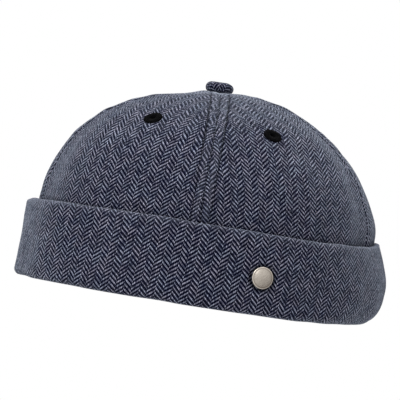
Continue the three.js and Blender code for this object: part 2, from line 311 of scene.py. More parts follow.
def linear(*screen: int) -> RGB:
    """Turns a screen colour into the linear colour that shaders take.

    Args:
        screen: Red, green and blue, each from 0 to 255.

    Returns:
        Red, green and blue, each from 0 to 1.
    """

    def channel(value: int) -> float:
        """One channel, by the sRGB curve."""
        share = value / 255
        return share / 12.92 if share <= 0.04045 else ((share + 0.055) / 1.055) ** 2.4

    red, green, blue = (channel(value) for value in screen)
    return red, green, blue


# Finishes


@dataclass(frozen=True)
class Fuzz:
    """Fibres that stand off the yarn and catch light at a slant."""

    weight: float
    specular: float = 0.0
    roughness: float = 0.2
    tint: RGB = linear(198, 209, 224)

    def inputs(self) -> dict[str, Any]:
        """The inputs of a Principled BSDF that the fibres set."""
        return {
            "Specular IOR Level": self.specular,
            "Sheen Weight": self.weight,
            "Sheen Roughness": self.roughness,
            "Sheen Tint": self.tint,
        }


@dataclass(frozen=True)
class Yarns:
    """The weave at each point: the end and pick there, the end's float, and which lies on top."""

    end: Signal
    pick: Signal
    float_number: Signal
    top: Signal
    is_warp: Signal


@dataclass(frozen=True)
class TweedFinish:
    """Two-by-two herringbone in pale warp and dark weft. Lengths are in metres."""

    name: str
    sheen: float = 0.85
    bare_sheen: float = 0.36
    roughness: float = 0.92
    end: float = 0.000642
    pick: float = 0.0005425
    repeat: float = 4.0
    ends_in_stripe: int = 6
    wave_share: float = 0.55
    warp_edge: Span = (0.3, 0.75)
    wander: float = 0.0007
    wander_noise: Noise = Noise(55.0)
    bow: float = 0.0009
    bow_noise: Noise = Noise(70.0)

    pale: RGB = linear(146, 149, 165)
    pale_other: RGB = linear(52, 55, 74)
    dark: RGB = linear(4, 5, 22)
    dark_other: RGB = linear(14, 16, 38)
    end_seed: float = 7.31
    float_seed: float = 3.17
    pick_seed: float = 0.37
    float_contrast: float = 0.9
    heather_contrast: float = 1.5
    heather: Noise = Noise(2400.0, rough=0.6)
    heather_stretch: float = 0.6

    cool: RGB = (0.95, 1.0, 1.04)
    warm: RGB = (1.06, 1.0, 1.02)
    tone: Noise = Noise(130.0, 3.0, 0.6, level=0.1)
    tone_span: Span = (0.38, 0.62)
    # Painted shade in the hollows between the yarns, then clouds and slubs of uneven wool.
    deep_light: float = 0.02
    light_span: Span = (0.05, 0.9)
    least_light: float = 0.05
    cloud: Noise = Noise(190.0, 5.0, 0.75)
    cloud_contrast: float = 1.4
    slub: Noise = Noise(760.0, 1.0, level=0.2)
    slub_span: Span = (0.6, 0.74)
    slub_light: float = 0.5

    # The pale colour of wear and painted highlight, reached where the fade is above 0.
    wear_and_painted_light_colour: RGB = linear(154, 160, 174)
    wear_and_highlight_share: float = 0.5
    wear_and_highlight_contrast: float = 1.2
    wear_and_highlight_from: float = 0.2
    relief: float = 0.0003
    fibre: Noise = Noise(5200.0, 1.0)
    fibre_stretch: float = 0.4
    fibre_height: float = 0.25
    blotch: Noise = Noise(300.0, 3.0, 0.7, level=0.4)
    blotch_contrast: float = 3.2
    warp_fuzz: float = 0.5
    least_fuzz: float = 0.3
    shaded_fuzz: float = 1.6

    def material(self) -> bpy.types.Material:
        """Makes the material, which works the weave out yarn by yarn.

        Returns:
            A material that reads the cloth's own coordinates from the mesh.
        """
        made, g = new_material(self.name)
        flat_u, flat_v, fade = g.split(g.cloth())
        u = flat_u + (g.layer(flat_u, flat_v, self.wander_noise) - 0.5) * self.wander
        v = flat_v + (g.layer(flat_v, flat_u, self.bow_noise) - 0.5) * self.bow
        yarns = self.yarns(g, u / self.end, v / self.pick)
        heather = g.layer(u * self.heather_stretch, v, self.heather)
        tone = g.smoothstep(self.tone_span, g.layer(flat_v, flat_u, self.tone))
        toned = g.tint(self.woven(g, yarns, heather), g.mix(tone, self.cool, self.warm))
        lit = self.light(g, yarns.top, flat_u, flat_v)
        # Painted shade between the yarns and where the fade is below 0; pale wear and painted highlight
        # where it is above 0.
        shaded = g.scale(toned, g.maximum(lit, self.least_light) * (1.0 + g.minimum(fade, 0.0)))
        wear_and_painted_highlight = self.wear_and_highlight_share + self.wear_and_highlight_contrast * (heather - self.wear_and_highlight_from)
        wear_and_painted_light_colour = g.mix(g.minimum(g.maximum(fade, 0.0) * wear_and_painted_highlight, 1.0), shaded, self.wear_and_painted_light_colour)

        fibre = g.layer(u, v * self.fibre_stretch, self.fibre)
        normal = g.bump(yarns.top + self.fibre_height * fibre, self.relief)
        pressed = g.maximum(fade, 0.0) + self.shaded_fuzz * g.minimum(fade, 0.0)
        blotch = self.blotch_contrast * (g.layer(flat_u, flat_v, self.blotch) - 0.5)
        raised = self.warp_fuzz * yarns.is_warp + blotch + self.least_fuzz + pressed
        bare, fuzzy = (
            g.principled({
                "Base Color": wear_and_painted_light_colour,
                "Roughness": self.roughness,
                "Normal": normal,
                **Fuzz(weight).inputs(),
            })
            for weight in (self.bare_sheen, self.sheen)
        )
        inputs = {0: g.smoothstep((0.0, 1.0), raised), 1: bare, 2: fuzzy}
        g.surface(g.out("ShaderNodeMixShader", 0, inputs=inputs))
        return made

    def yarns(self, g: ShaderGraph, across: Signal, along: Signal) -> Yarns:
        """Works out which yarns cross at each point.

        Args:
            g: The material's graph.
            across: Distance across the cloth, counted in warp ends.
            along: Distance along the cloth, counted in weft picks.

        Returns:
            The weave's values.
        """
        turn = FULL / self.repeat
        end = g.floor(across)
        pick = g.floor(along)
        stripe = g.floor(end / self.ends_in_stripe)
        turned_over = stripe % 2.0
        slant = 1.0 - 2.0 * turned_over
        broken = self.ends_in_stripe / 2 * turned_over
        phase = along + (end - stripe * self.ends_in_stripe) * slant + broken
        place = across - stripe * self.ends_in_stripe - 0.5
        warp = self.yarn_height(g, g.sine(phase * turn), across)
        weft = self.yarn_height(g, -g.sine((pick + 0.5 + place * slant + broken) * turn), along)
        is_warp = g.smoothstep(self.warp_edge, warp - weft)
        return Yarns(end, pick, g.floor(phase / self.repeat), g.maximum(warp, weft), is_warp)

    def yarn_height(self, g: ShaderGraph, wave: Signal, place: Signal) -> Signal:
        """Height of a round yarn that goes up and down through the weave."""
        rounded = 1.0 - (2.0 * g.fract(place) - 1.0) ** 2.0
        return self.wave_share * wave + (1.0 - self.wave_share) * rounded

    def woven(self, g: ShaderGraph, yarns: Yarns, heather: Signal) -> Signal:
        """Colour of the yarns, each a little different.

        Args:
            g: The material's graph.
            yarns: The weave's values.
            heather: The mottling of the wool.

        Returns:
            The colour before light and wear.
        """
        shade = g.random(yarns.end * self.end_seed + yarns.float_number * self.float_seed)
        pale_share = 0.5 + self.float_contrast * (shade - 0.5) + self.heather_contrast * (heather - 0.5)
        pale = g.mix(pale_share, self.pale, self.pale_other)
        dark_share = 0.5 * g.random(yarns.pick + self.pick_seed) + 0.5 * heather
        return g.mix(yarns.is_warp, g.mix(dark_share, self.dark, self.dark_other), pale)

    def light(self, g: ShaderGraph, top: Signal, u: Signal, v: Signal) -> Signal:
        """How much light the wool returns, painted into its colour: more on top of the yarns, with
        painted shade in the hollows between them, uneven over the cloth.

        Args:
            g: The material's graph.
            top: Height of the yarn that lies on top.
            u: Distance across the cloth.
            v: Distance along the cloth.

        Returns:
            A factor on the colour.
        """
        # Painted shade: darker where the yarn on top lies low, between the yarns.
        raised = (1.0 - self.deep_light) * g.smoothstep(self.light_span, top)
        cloud = self.cloud_contrast * (g.layer(u, v, self.cloud) - 0.5)
        slub = self.slub_light * g.smoothstep(self.slub_span, g.layer(u, v, self.slub))
        return self.deep_light + raised + cloud + slub


@dataclass(frozen=True)
class ThreadFinish:
    """Satin stitches or topstitching thread. Lengths are in metres."""

    name: str
    colour: RGB
    other: RGB
    sheen: float = 0.0
    specular: float = 0.02
    twist: float = 0.00035
    twist_share: float = 0.25
    twist_height: float = 0.5
    grain: Noise = Noise(2400.0)
    grain_share: float = 0.5
    roughness: float = 0.5
    roughness_spread: float = 0.3
    relief: float = 0.00006

    def material(self) -> bpy.types.Material:
        """Makes the material.

        Returns:
            A material with a fine twist along each thread.
        """
        made, g = new_material(self.name)
        cloth = g.cloth()
        u, v, fade = g.split(cloth)
        twist = g.sine((u + v) * (FULL / self.twist))
        grain = g.noise(cloth, self.grain)
        share = self.grain_share * grain + self.twist_share * (twist + 1.0) + fade
        g.surface(g.principled({
            "Base Color": g.mix(share, self.colour, self.other),
            "Roughness": self.roughness + self.roughness_spread * (grain - 0.5),
            "Normal": g.bump(twist * self.twist_height + grain, self.relief),
            **Fuzz(self.sheen, self.specular).inputs(),
        }))
        return made


@dataclass(frozen=True)
class NickelFinish:
    """Pale nickel, softly brushed, that darkens with tarnish and with the fade; the fade carries
    painted shade and, where it is below 0, a painted highlight. Lengths are in metres.
    """

    name: str
    colour: RGB = linear(198, 190, 179)
    wear_and_painted_light_colour: RGB = linear(104, 95, 88)
    metallic: float = 0.9
    roughness: float = 0.22
    dullness: float = 0.14
    tarnish: Noise = Noise(420.0, 3.0, 0.6)
    tarnish_span: Span = (0.4, 0.75)
    tarnish_share: float = 0.7
    brushing: Noise = Noise(900.0, 3.0)
    brush_stretch: float = 12.0
    relief: float = 0.00002

    def material(self) -> bpy.types.Material:
        """Makes the material.

        Returns:
            A metal with brushing and light tarnish.
        """
        made, g = new_material(self.name)
        cloth = g.cloth()
        u, v, fade = g.split(cloth)
        tarnish = g.noise(cloth, self.tarnish)
        # The fade carries painted shade in the rim's groove and on the lower side, and a painted
        # highlight on the bead.
        share = g.smoothstep(self.tarnish_span, tarnish) * self.tarnish_share + fade
        g.surface(g.principled({
            "Base Color": g.mix(share, self.colour, self.wear_and_painted_light_colour),
            "Metallic": self.metallic,
            "Roughness": self.roughness + self.dullness * tarnish,
            "Normal": g.bump(g.layer(u * self.brush_stretch, v, self.brushing), self.relief),
        }))
        return made


# Meshes


def unit(vectors: Array) -> Array:
    """Vectors brought to length 1."""
    return vectors / np.maximum(np.linalg.norm(vectors, axis=-1, keepdims=True), 1e-12)


def bell(distance: Array, width: float | Array) -> Array:
    """A smooth hill of height 1 round distance 0."""
    return np.exp(-((distance / width) ** 2))


def ramp(value: Array, span: Span) -> Array:
    """Rises evenly from 0 at the span's start to 1 at its end."""
    return np.clip((value - span[0]) / (span[1] - span[0]), 0.0, 1.0)


def circle(count: int) -> Array:
    """Angles in radians, evenly spaced round a circle."""
    return np.linspace(0.0, FULL, count, endpoint=False)


def turned(radius: Array, height: Array, turn: Array) -> Array:
    """Points at radii and heights, given by row and column, round an upright axis."""
    x, y = radius * np.cos(turn), radius * np.sin(turn)
    return np.stack(np.broadcast_arrays(x, y, height), axis=-1)


def run_of(path: Array) -> Array:
    """Length along a path from its first point, or along each column of a grid."""
    steps = np.linalg.norm(np.diff(path, axis=0), axis=-1)
    return np.concatenate([np.zeros_like(steps[:1]), np.cumsum(steps, axis=0)])


def cloth_of(u: Array, v: Array, fade: Array | float = 0.0) -> Array:
    """Cloth coordinates from their three parts, in one array."""
    return np.stack(np.broadcast_arrays(u, v, fade), axis=-1).astype(float)


def link(name: str, data: bpy.types.ID) -> bpy.types.Object:
    """Makes an object and puts it in the scene.

    Args:
        name: The object's name.
        data: Its mesh, light or camera.

    Returns:
        The new object.
    """
    made = bpy.data.objects.new(name, data)
    bpy.context.scene.collection.objects.link(made)
    return made


@dataclass
class MeshDraft:
    """Collects patches of points, in millimetres, into one mesh with cloth coordinates."""

    name: str
    points: list[Array] = field(default_factory=list)
    cloth: list[Array] = field(default_factory=list)
    faces: list[Sequence[int]] = field(default_factory=list)
    count: int = 0

    def add_points(self, points: Array, cloth: Array) -> Array:
        """Adds points.

        Args:
            points: Points whose last axis is the three coordinates.
            cloth: Array of the same shape with the cloth coordinates and the fade.

        Returns:
            The number of each new point, in the shape of the array of points.
        """
        shape = points.shape[:-1]
        numbers = self.count + np.arange(math.prod(shape)).reshape(shape)
        self.points.append(points.reshape(-1, 3))
        self.cloth.append(cloth.reshape(-1, 3))
        self.count += numbers.size
        return numbers

    def add_grid(
        self,
        points: Array,
        cloth: Array,
        keep: Array | None = None,
        ring: bool = False,
        flip: bool = False,
    ) -> None:
        """Adds a patch of rows and columns.

        Args:
            points: Array of rows, columns and three coordinates.
            cloth: Array of the same shape with the cloth coordinates and the fade.
            keep: For each cell, whether it is made; all are by default.
            ring: Whether the last column joins the first.
            flip: Whether the faces turn the other way.
        """
        index = self.add_points(points, cloth)
        if ring:
            index = np.concatenate([index, index[:, :1]], axis=1)
        corners = [index[:-1, :-1], index[1:, :-1], index[1:, 1:], index[:-1, 1:]]
        if flip:
            corners.reverse()
        quads = np.stack(corners, axis=-1)
        chosen = quads.reshape(-1, 4) if keep is None else quads[keep]
        self.faces.extend(chosen.tolist())

    def add_sheet(self, outer: Array, inner: Array, cloth: Array, keep: Array) -> None:
        """Adds a sheet with two faces, closed along every edge of the cells that are kept.

        Args:
            outer: Points of the outer face by row and column.
            inner: Points of the inner face, in the same order.
            cloth: Cloth coordinates and fade of both faces.
            keep: For each cell, whether it is made.
        """
        rows, columns = outer.shape[:2]
        step = rows * columns
        index = self.count + np.arange(step).reshape(rows, columns)
        self.add_grid(outer, cloth, keep=keep)
        self.add_grid(inner, cloth, keep=keep, flip=True)
        corners = (index[:-1, :-1], index[1:, :-1], index[1:, 1:], index[:-1, 1:])
        around = np.pad(keep, 1)
        beyond = (around[1:-1, :-2], around[2:, 1:-1], around[1:-1, 2:], around[:-2, 1:-1])
        for k, neighbour in enumerate(beyond):
            open_edge = keep & ~neighbour
            start, stop = corners[k][open_edge], corners[(k + 1) % len(corners)][open_edge]
            self.faces.extend(np.stack([stop, start, start + step, stop + step], axis=-1).tolist())

    def add_cap(self, points: Array, cloth: Array, flip: bool = False) -> None:
        """Closes a ring of points with one face of many corners."""
        order = self.add_points(points, cloth).tolist()
        self.faces.append(order[::-1] if flip else order)

    def add_solid(self, points: Array, cloth: Array, flip: bool = False) -> None:
        """Adds rows of points, each a ring, with both ends closed.

        Args:
            points: Points by row and place in the ring.
            cloth: Their cloth coordinates and fade.
            flip: Whether the faces turn the other way.
        """
        self.add_grid(points, cloth, ring=True, flip=flip)
        self.add_cap(points[0], cloth[0], flip=flip)
        self.add_cap(points[-1], cloth[-1], flip=not flip)

    def make(self, material: bpy.types.Material) -> bpy.types.Object:
        """Makes the object, in metres.

        Args:
            material: The finish of the whole piece.

        Returns:
            The new object.
        """
        mesh = bpy.data.meshes.new(self.name)
        mesh.from_pydata((np.concatenate(self.points) * MM).tolist(), [], self.faces)
        mesh.shade_smooth()
        cloth = np.concatenate(self.cloth) * np.array([MM, MM, 1.0])
        layer = mesh.attributes.new(CLOTH, "FLOAT_VECTOR", "POINT")
        layer.data.foreach_set("vector", cloth.astype(np.float32).ravel())
        mesh.materials.append(material)
        LOG.info("%s: %d points, %d faces", self.name, self.count, len(self.faces))
        return link(self.name, mesh)

    def build(self, material: bpy.types.Material, slot: Slot, node: str) -> None:
        """Makes a piece of the cap, hangs it under the root body and hides the CAD node that it stands
        for.

        Args:
            material: The finish of the whole piece.
            slot: The record's material slot; not used.
            node: The CAD node that the piece stands for.
        """
        made = self.make(material)
        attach(made, "root")
        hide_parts(node)


@dataclass(frozen=True)
class Seat:
    """A place on a surface, with the way that it faces."""

    point: Array
    normal: Array

    def place(self, local: Array) -> Array:
        """Moves points from the seat's own axes to the cap's.

        Args:
            local: Points whose third part is the distance out of the surface.

        Returns:
            The points in the cap's frame.
        """
        across = unit(np.cross([0.0, 0.0, 1.0], self.normal))
        up = np.cross(self.normal, across)
        return self.point + local @ np.stack([across, up, self.normal])


@dataclass(frozen=True)
class Strip:
    """A soft strip along a line: its strength, its distance from the line and its width."""

    strength: float
    at: float
    width: float

    def over(self, distance: Array) -> Array:
        """Strength at a distance from the line."""
        return self.strength * bell(distance - self.at, self.width)


@dataclass(frozen=True)
class Ripple:
    """Gentle unevenness of soft cloth: a sum of waves that depends on its seed alone."""

    seed: int
    height: float
    shortest: float = 13.0
    longest: float = 42.0
    waves: int = 22

    def at(self, points: Array) -> Array:
        """Works out the unevenness.

        Args:
            points: Points whose last axis is the three coordinates.

        Returns:
            The height at each point.
        """
        rng = np.random.default_rng(self.seed)
        way = unit(rng.normal(size=(self.waves, 3)))
        length = rng.uniform(self.shortest, self.longest, self.waves)
        phase = rng.uniform(0.0, FULL, self.waves)
        total = np.zeros(points.shape[:-1])
        for k in range(self.waves):
            total += np.sin(points @ way[k] * (FULL / length[k]) + phase[k])
        return total * self.height / math.sqrt(self.waves / 2)


@dataclass(frozen=True)
class Grain:
    """How far the stripes of a cut piece drift from its own coordinates, as a small polynomial.

    Each term is a power of u, a power of v and millimetres; u and v count in units of `scale`.
    """

    terms: tuple[tuple[int, int, float], ...] = ()
    middle: float = 0.0
    scale: float = 50.0
    u_range: Span = (-55.0, 55.0)
    v_range: Span = (-25.0, 28.0)

    def shift(self, u: Array, v: Array) -> Array:
        """Works out the drift, which is steady outside the ranges.

        Args:
            u: Distance across the cloth.
            v: Distance along the cloth.

        Returns:
            The drift in millimetres.
        """
        across = np.clip(u, *self.u_range) / self.scale
        up = np.clip(v - self.middle, *self.v_range) / self.scale
        total = np.zeros(np.broadcast(u, v).shape)
        for u_power, v_power, size in self.terms:
            total = total + size * across**u_power * up**v_power
        return total


# The crown


@dataclass(frozen=True)
class Swell:
    """A soft rise or hollow: its middle, its reach along each axis and its height."""

    x: float
    y: float
    z: float
    along_x: float
    along_y: float
    along_z: float
    rise: float


@dataclass(frozen=True)
class CrownForm:
    """The crown's outer face in millimetres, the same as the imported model's.

    A point has an angle round the cap and a row: radians from the pole up to a quarter turn,
    then on down the wall.
    """

    centre_x: float = -1.2
    half_width: float = 87.1
    half_length: float = 97.0
    plan_power: float = 2.1
    shoulder: float = 38.0
    rise: float = 69.5
    dome_power: float = 2.1
    wall: float = 1.8
    wall_scale: float = 70.0
    lower_edge: float = 10.0
    pole_x: float = -3.9
    tip_radius: float = 0.8
    gather: float = 1.7
    gather_at: float = 8.5
    gather_out: float = 6.0
    gather_in: float = 1.2
    gather_all_round: float = 0.1
    hollow: Strip = Strip(-0.7, 15.0, 8.0)
    seams: tuple[float, ...] = (0.0, 73.0, 127.0, 180.0, 233.0, 286.0)
    swells: tuple[Swell, ...] = (
        Swell(-3.7, 0, 107, 9, 9, 30, 0.7),
        Swell(29.6, 0, 105, 24, 40, 30, 1.4),
        Swell(-27.4, 0, 105, 17, 34, 30, -1.2),
        Swell(85.6, 0, 51, 20, 34, 7, 1.1),
        Swell(75.6, 0, 69, 14, 34, 11, -0.7),
        Swell(-60.4, -45, 84, 22, 22, 22, 0.6),
        Swell(57, 0, 92, 20, 40, 16, -0.7),
        Swell(-82, 0, 67, 12, 40, 20, -0.8),
        Swell(49.6, -62, 74, 16, 16, 20, -0.8),
        Swell(7.6, 52, 98, 26, 20, 26, -0.8),
        Swell(-52.4, 58, 72, 18, 18, 20, 0.7),
    )
    ripple: Ripple = Ripple(seed=11, height=0.2)
    angle_step: float = 0.3
    row_step: float = 0.004
    rim_step: float = 0.4
    least_row: float = 0.01
    least_seam_row: float = 0.05

    def rim(self, angle: Array) -> Array:
        """The outer wall in plan.

        Args:
            angle: Degrees round the cap.

        Returns:
            X and Y of the wall in millimetres.
        """
        turn = np.radians(angle)
        power = 2 / self.plan_power
        sine, cosine = np.sin(turn), np.cos(turn)
        x = self.centre_x + self.half_width * np.sign(sine) * np.abs(sine) ** power
        y = -self.half_length * np.sign(cosine) * np.abs(cosine) ** power
        return np.stack([x, y], axis=-1)

    def beyond_rim(self, angle: Array, offset: Array) -> Array:
        """The outer wall in plan, moved outwards by an offset.

        Args:
            angle: Degrees round the cap.
            offset: Millimetres out of the wall.

        Returns:
            X and Y in millimetres.
        """
        along = unit(self.rim(angle + self.rim_step) - self.rim(angle - self.rim_step))
        outwards = np.stack([along[..., 1], -along[..., 0]], axis=-1)
        return self.rim(angle) + outwards * offset[..., None]

    def reach_at(self, row: Array) -> Array:
        """Share of the way from the pole to the outer wall, by row."""
        return np.sin(np.clip(row, 0.0, QUARTER)) ** (2 / self.dome_power)

    def row_of_reach(self, reach: float) -> float:
        """The row at a share of the way from the pole to the outer wall."""
        return math.asin(reach ** (self.dome_power / 2))

    def drop_at(self, row: Array) -> Array:
        """Millimetres down the wall, by row."""
        return np.maximum(0.0, row - QUARTER) * self.wall_scale

    def first_row(self) -> float:
        """The row of the gores' tips."""
        return self.row_of_reach(self.tip_radius / self.half_width)

    def last_row(self) -> float:
        """The row of the crown's lower edge."""
        return QUARTER + (self.shoulder - self.lower_edge) / self.wall_scale

    def smooth(self, angle: Array, row: Array) -> Array:
        """The smooth crown.

        Args:
            angle: Degrees round the cap.
            row: The row parameter.

        Returns:
            Points in millimetres.
        """
        angle, row = np.broadcast_arrays(angle, row)
        reach = self.reach_at(row)
        away = 1.0 - reach
        rim = self.rim(angle)
        x = self.centre_x * away + rim[..., 0] * reach + self.pole_x * away**2
        y = rim[..., 1] * reach
        across = np.abs((x - self.centre_x) / self.half_width) ** self.plan_power
        along = np.abs(y / self.half_length) ** self.plan_power
        share = np.minimum(1.0, (across + along) ** (1 / self.plan_power))
        dome = np.maximum(1.0 - share**self.dome_power, 0.0) ** (1 / self.dome_power)
        return np.stack([x, y, self.shoulder + self.rise * dome - self.drop_at(row)], axis=-1)

    def normal(self, angle: Array, row: Array) -> Array:
        """The way that the smooth crown faces.

        Args:
            angle: Degrees round the cap.
            row: The row parameter.

        Returns:
            Directions of length 1.
        """
        turn, slide = self.angle_step, self.row_step
        above = np.maximum(row - slide, self.least_row)
        round_it = self.smooth(angle + turn, row) - self.smooth(angle - turn, row)
        down_it = self.smooth(angle, row + slide) - self.smooth(angle, above)
        return -unit(np.cross(round_it, down_it))

    def softness(self, row: Array, here: Array) -> Array:
        """Height of the swells, the hollows beside the seams and the ripple over the smooth crown.

        Args:
            row: The row parameter of each point.
            here: Points of the smooth crown.

        Returns:
            Heights in millimetres.
        """
        total = np.zeros(here.shape[:-1])
        for swell in self.swells:
            across = ((here[..., 0] - swell.x) / swell.along_x) ** 2
            along = ((here[..., 1] - swell.y) / swell.along_y) ** 2
            up = ((here[..., 2] - swell.z) / swell.along_z) ** 2
            total += swell.rise * np.exp(-(across + along + up))
        nearest = np.full(here.shape[:-1], np.inf)
        for seam in self.seams:
            on_seam = self.smooth(np.full_like(nearest, seam), np.maximum(row, self.least_seam_row))
            away = np.linalg.norm((here - on_seam)[..., :2], axis=-1)
            nearest = np.minimum(nearest, away)
        total += self.reach_at(row) * self.hollow.over(nearest) + self.gathered(here)
        fade = np.clip(1.0 - self.drop_at(row) / (self.shoulder - self.lower_edge), 0.0, 1.0)
        return (total + self.ripple.at(here)) * fade

    def from_pole(self, points: Array) -> Array:
        """Distance from the pole in plan."""
        return np.hypot(points[..., 0] - self.centre_x - self.pole_x, points[..., 1])

    def gathered(self, points: Array) -> Array:
        """Height of the cloth that bunches up beside the button, on the wearer's right.

        Args:
            points: Points of the smooth crown.

        Returns:
            Heights in millimetres.
        """
        away = self.from_pole(points)
        width = np.where(away > self.gather_at, self.gather_out, self.gather_in)
        side = (self.centre_x + self.pole_x - points[..., 0]) / np.maximum(away, 1.0)
        share = self.gather_all_round + (1.0 - self.gather_all_round) * side
        return self.gather * np.clip(share, 0.0, 1.0) * bell(away - self.gather_at, width)

    def surface(self, angle: Array, row: Array, offset: Array | float = 0.0) -> Array:
        """The crown with its softness, moved outwards by an offset.

        Args:
            angle: Degrees round the cap, as an array of rows and columns.
            row: The row parameter, of the same shape.
            offset: Millimetres out of the surface.

        Returns:
            Points in millimetres.
        """
        here = self.smooth(angle, row)
        rise = self.softness(row, here) + offset
        return here + self.normal(angle, row) * rise[..., None]

    def seat(self, angle: float, reach: float) -> Seat:
        """The place at an angle and a share of the way from the pole to the wall."""
        place = np.array([[angle]]), np.array([[self.row_of_reach(reach)]])
        return Seat(self.surface(*place)[0, 0], self.normal(*place)[0, 0])


@dataclass(frozen=True)
class SeamRelief:
    """How the cloth stands beside a sewn and topstitched seam, in millimetres."""

    groove: Strip = Strip(-0.7, 0.0, 0.35)
    ridge: Strip = Strip(0.5, 2.4, 1.7)
    stitches: Strip = Strip(-0.6, 4.7, 0.45)
    beyond: Strip = Strip(0.2, 7.2, 2.2)
    pucker: Ripple = Ripple(seed=5, height=0.28, shortest=5.0, longest=14.0)
    spare_width: float = 2.0

    def height(self, distance: Array, points: Array) -> Array:
        """Works out how high the cloth stands beside the seam.

        Args:
            distance: Distance from the seam.
            points: Points of the smooth crown.

        Returns:
            Heights over the cloth.
        """
        puckered = self.ridge.over(distance) + self.beyond.over(distance)
        pressed = self.groove.over(distance) + self.stitches.over(distance)
        return pressed + puckered * (1.0 + self.pucker.at(points))


@dataclass(frozen=True)
class GoreWearAndPaintedLight:
    """Where a gore's cloth is made paler, by wear and painted highlight, and darker, by painted shade,
    as shares of its fade.

    Widths, heights and distances from the pole or a seam are in millimetres.
    """

    # Paler: wear and painted highlight along the ridges, round the button and over the top.
    ridge_front: float = 0.05
    ridge_other: float = 0.15
    ridge_width: float = 1.5
    tip_front: float = 0.7
    tip_other: float = 0.2
    tip_from: float = 11.0
    tip_over: float = 8.0
    tip_width: float = 4.8
    top: float = 0.28
    top_from: float = 12.0
    top_over: float = 13.0
    # Darker: painted shade under the stitches, in the seams and in the gap just above the cuff.
    stitches: float = -0.8
    stitch_width: float = 0.5
    stitch_rate: float = 3.0
    seam: Strip = Strip(-0.3, 0.0, 0.4)
    shade_heights: Span = (40.0, 85.0)
    least_shade: float = 0.25
    cuff_shade: Strip = Strip(-1.0, -0.5, 1.5)
    cuff_front: float = 0.2
    cuff_side: float = 0.4


@dataclass(frozen=True)
class GoreCut:
    """One gore: its place in the names of its pieces, its seams and its eyelet, in degrees."""

    place: str
    start: float
    end: float
    eyelet: float
    grain: Grain = Grain()


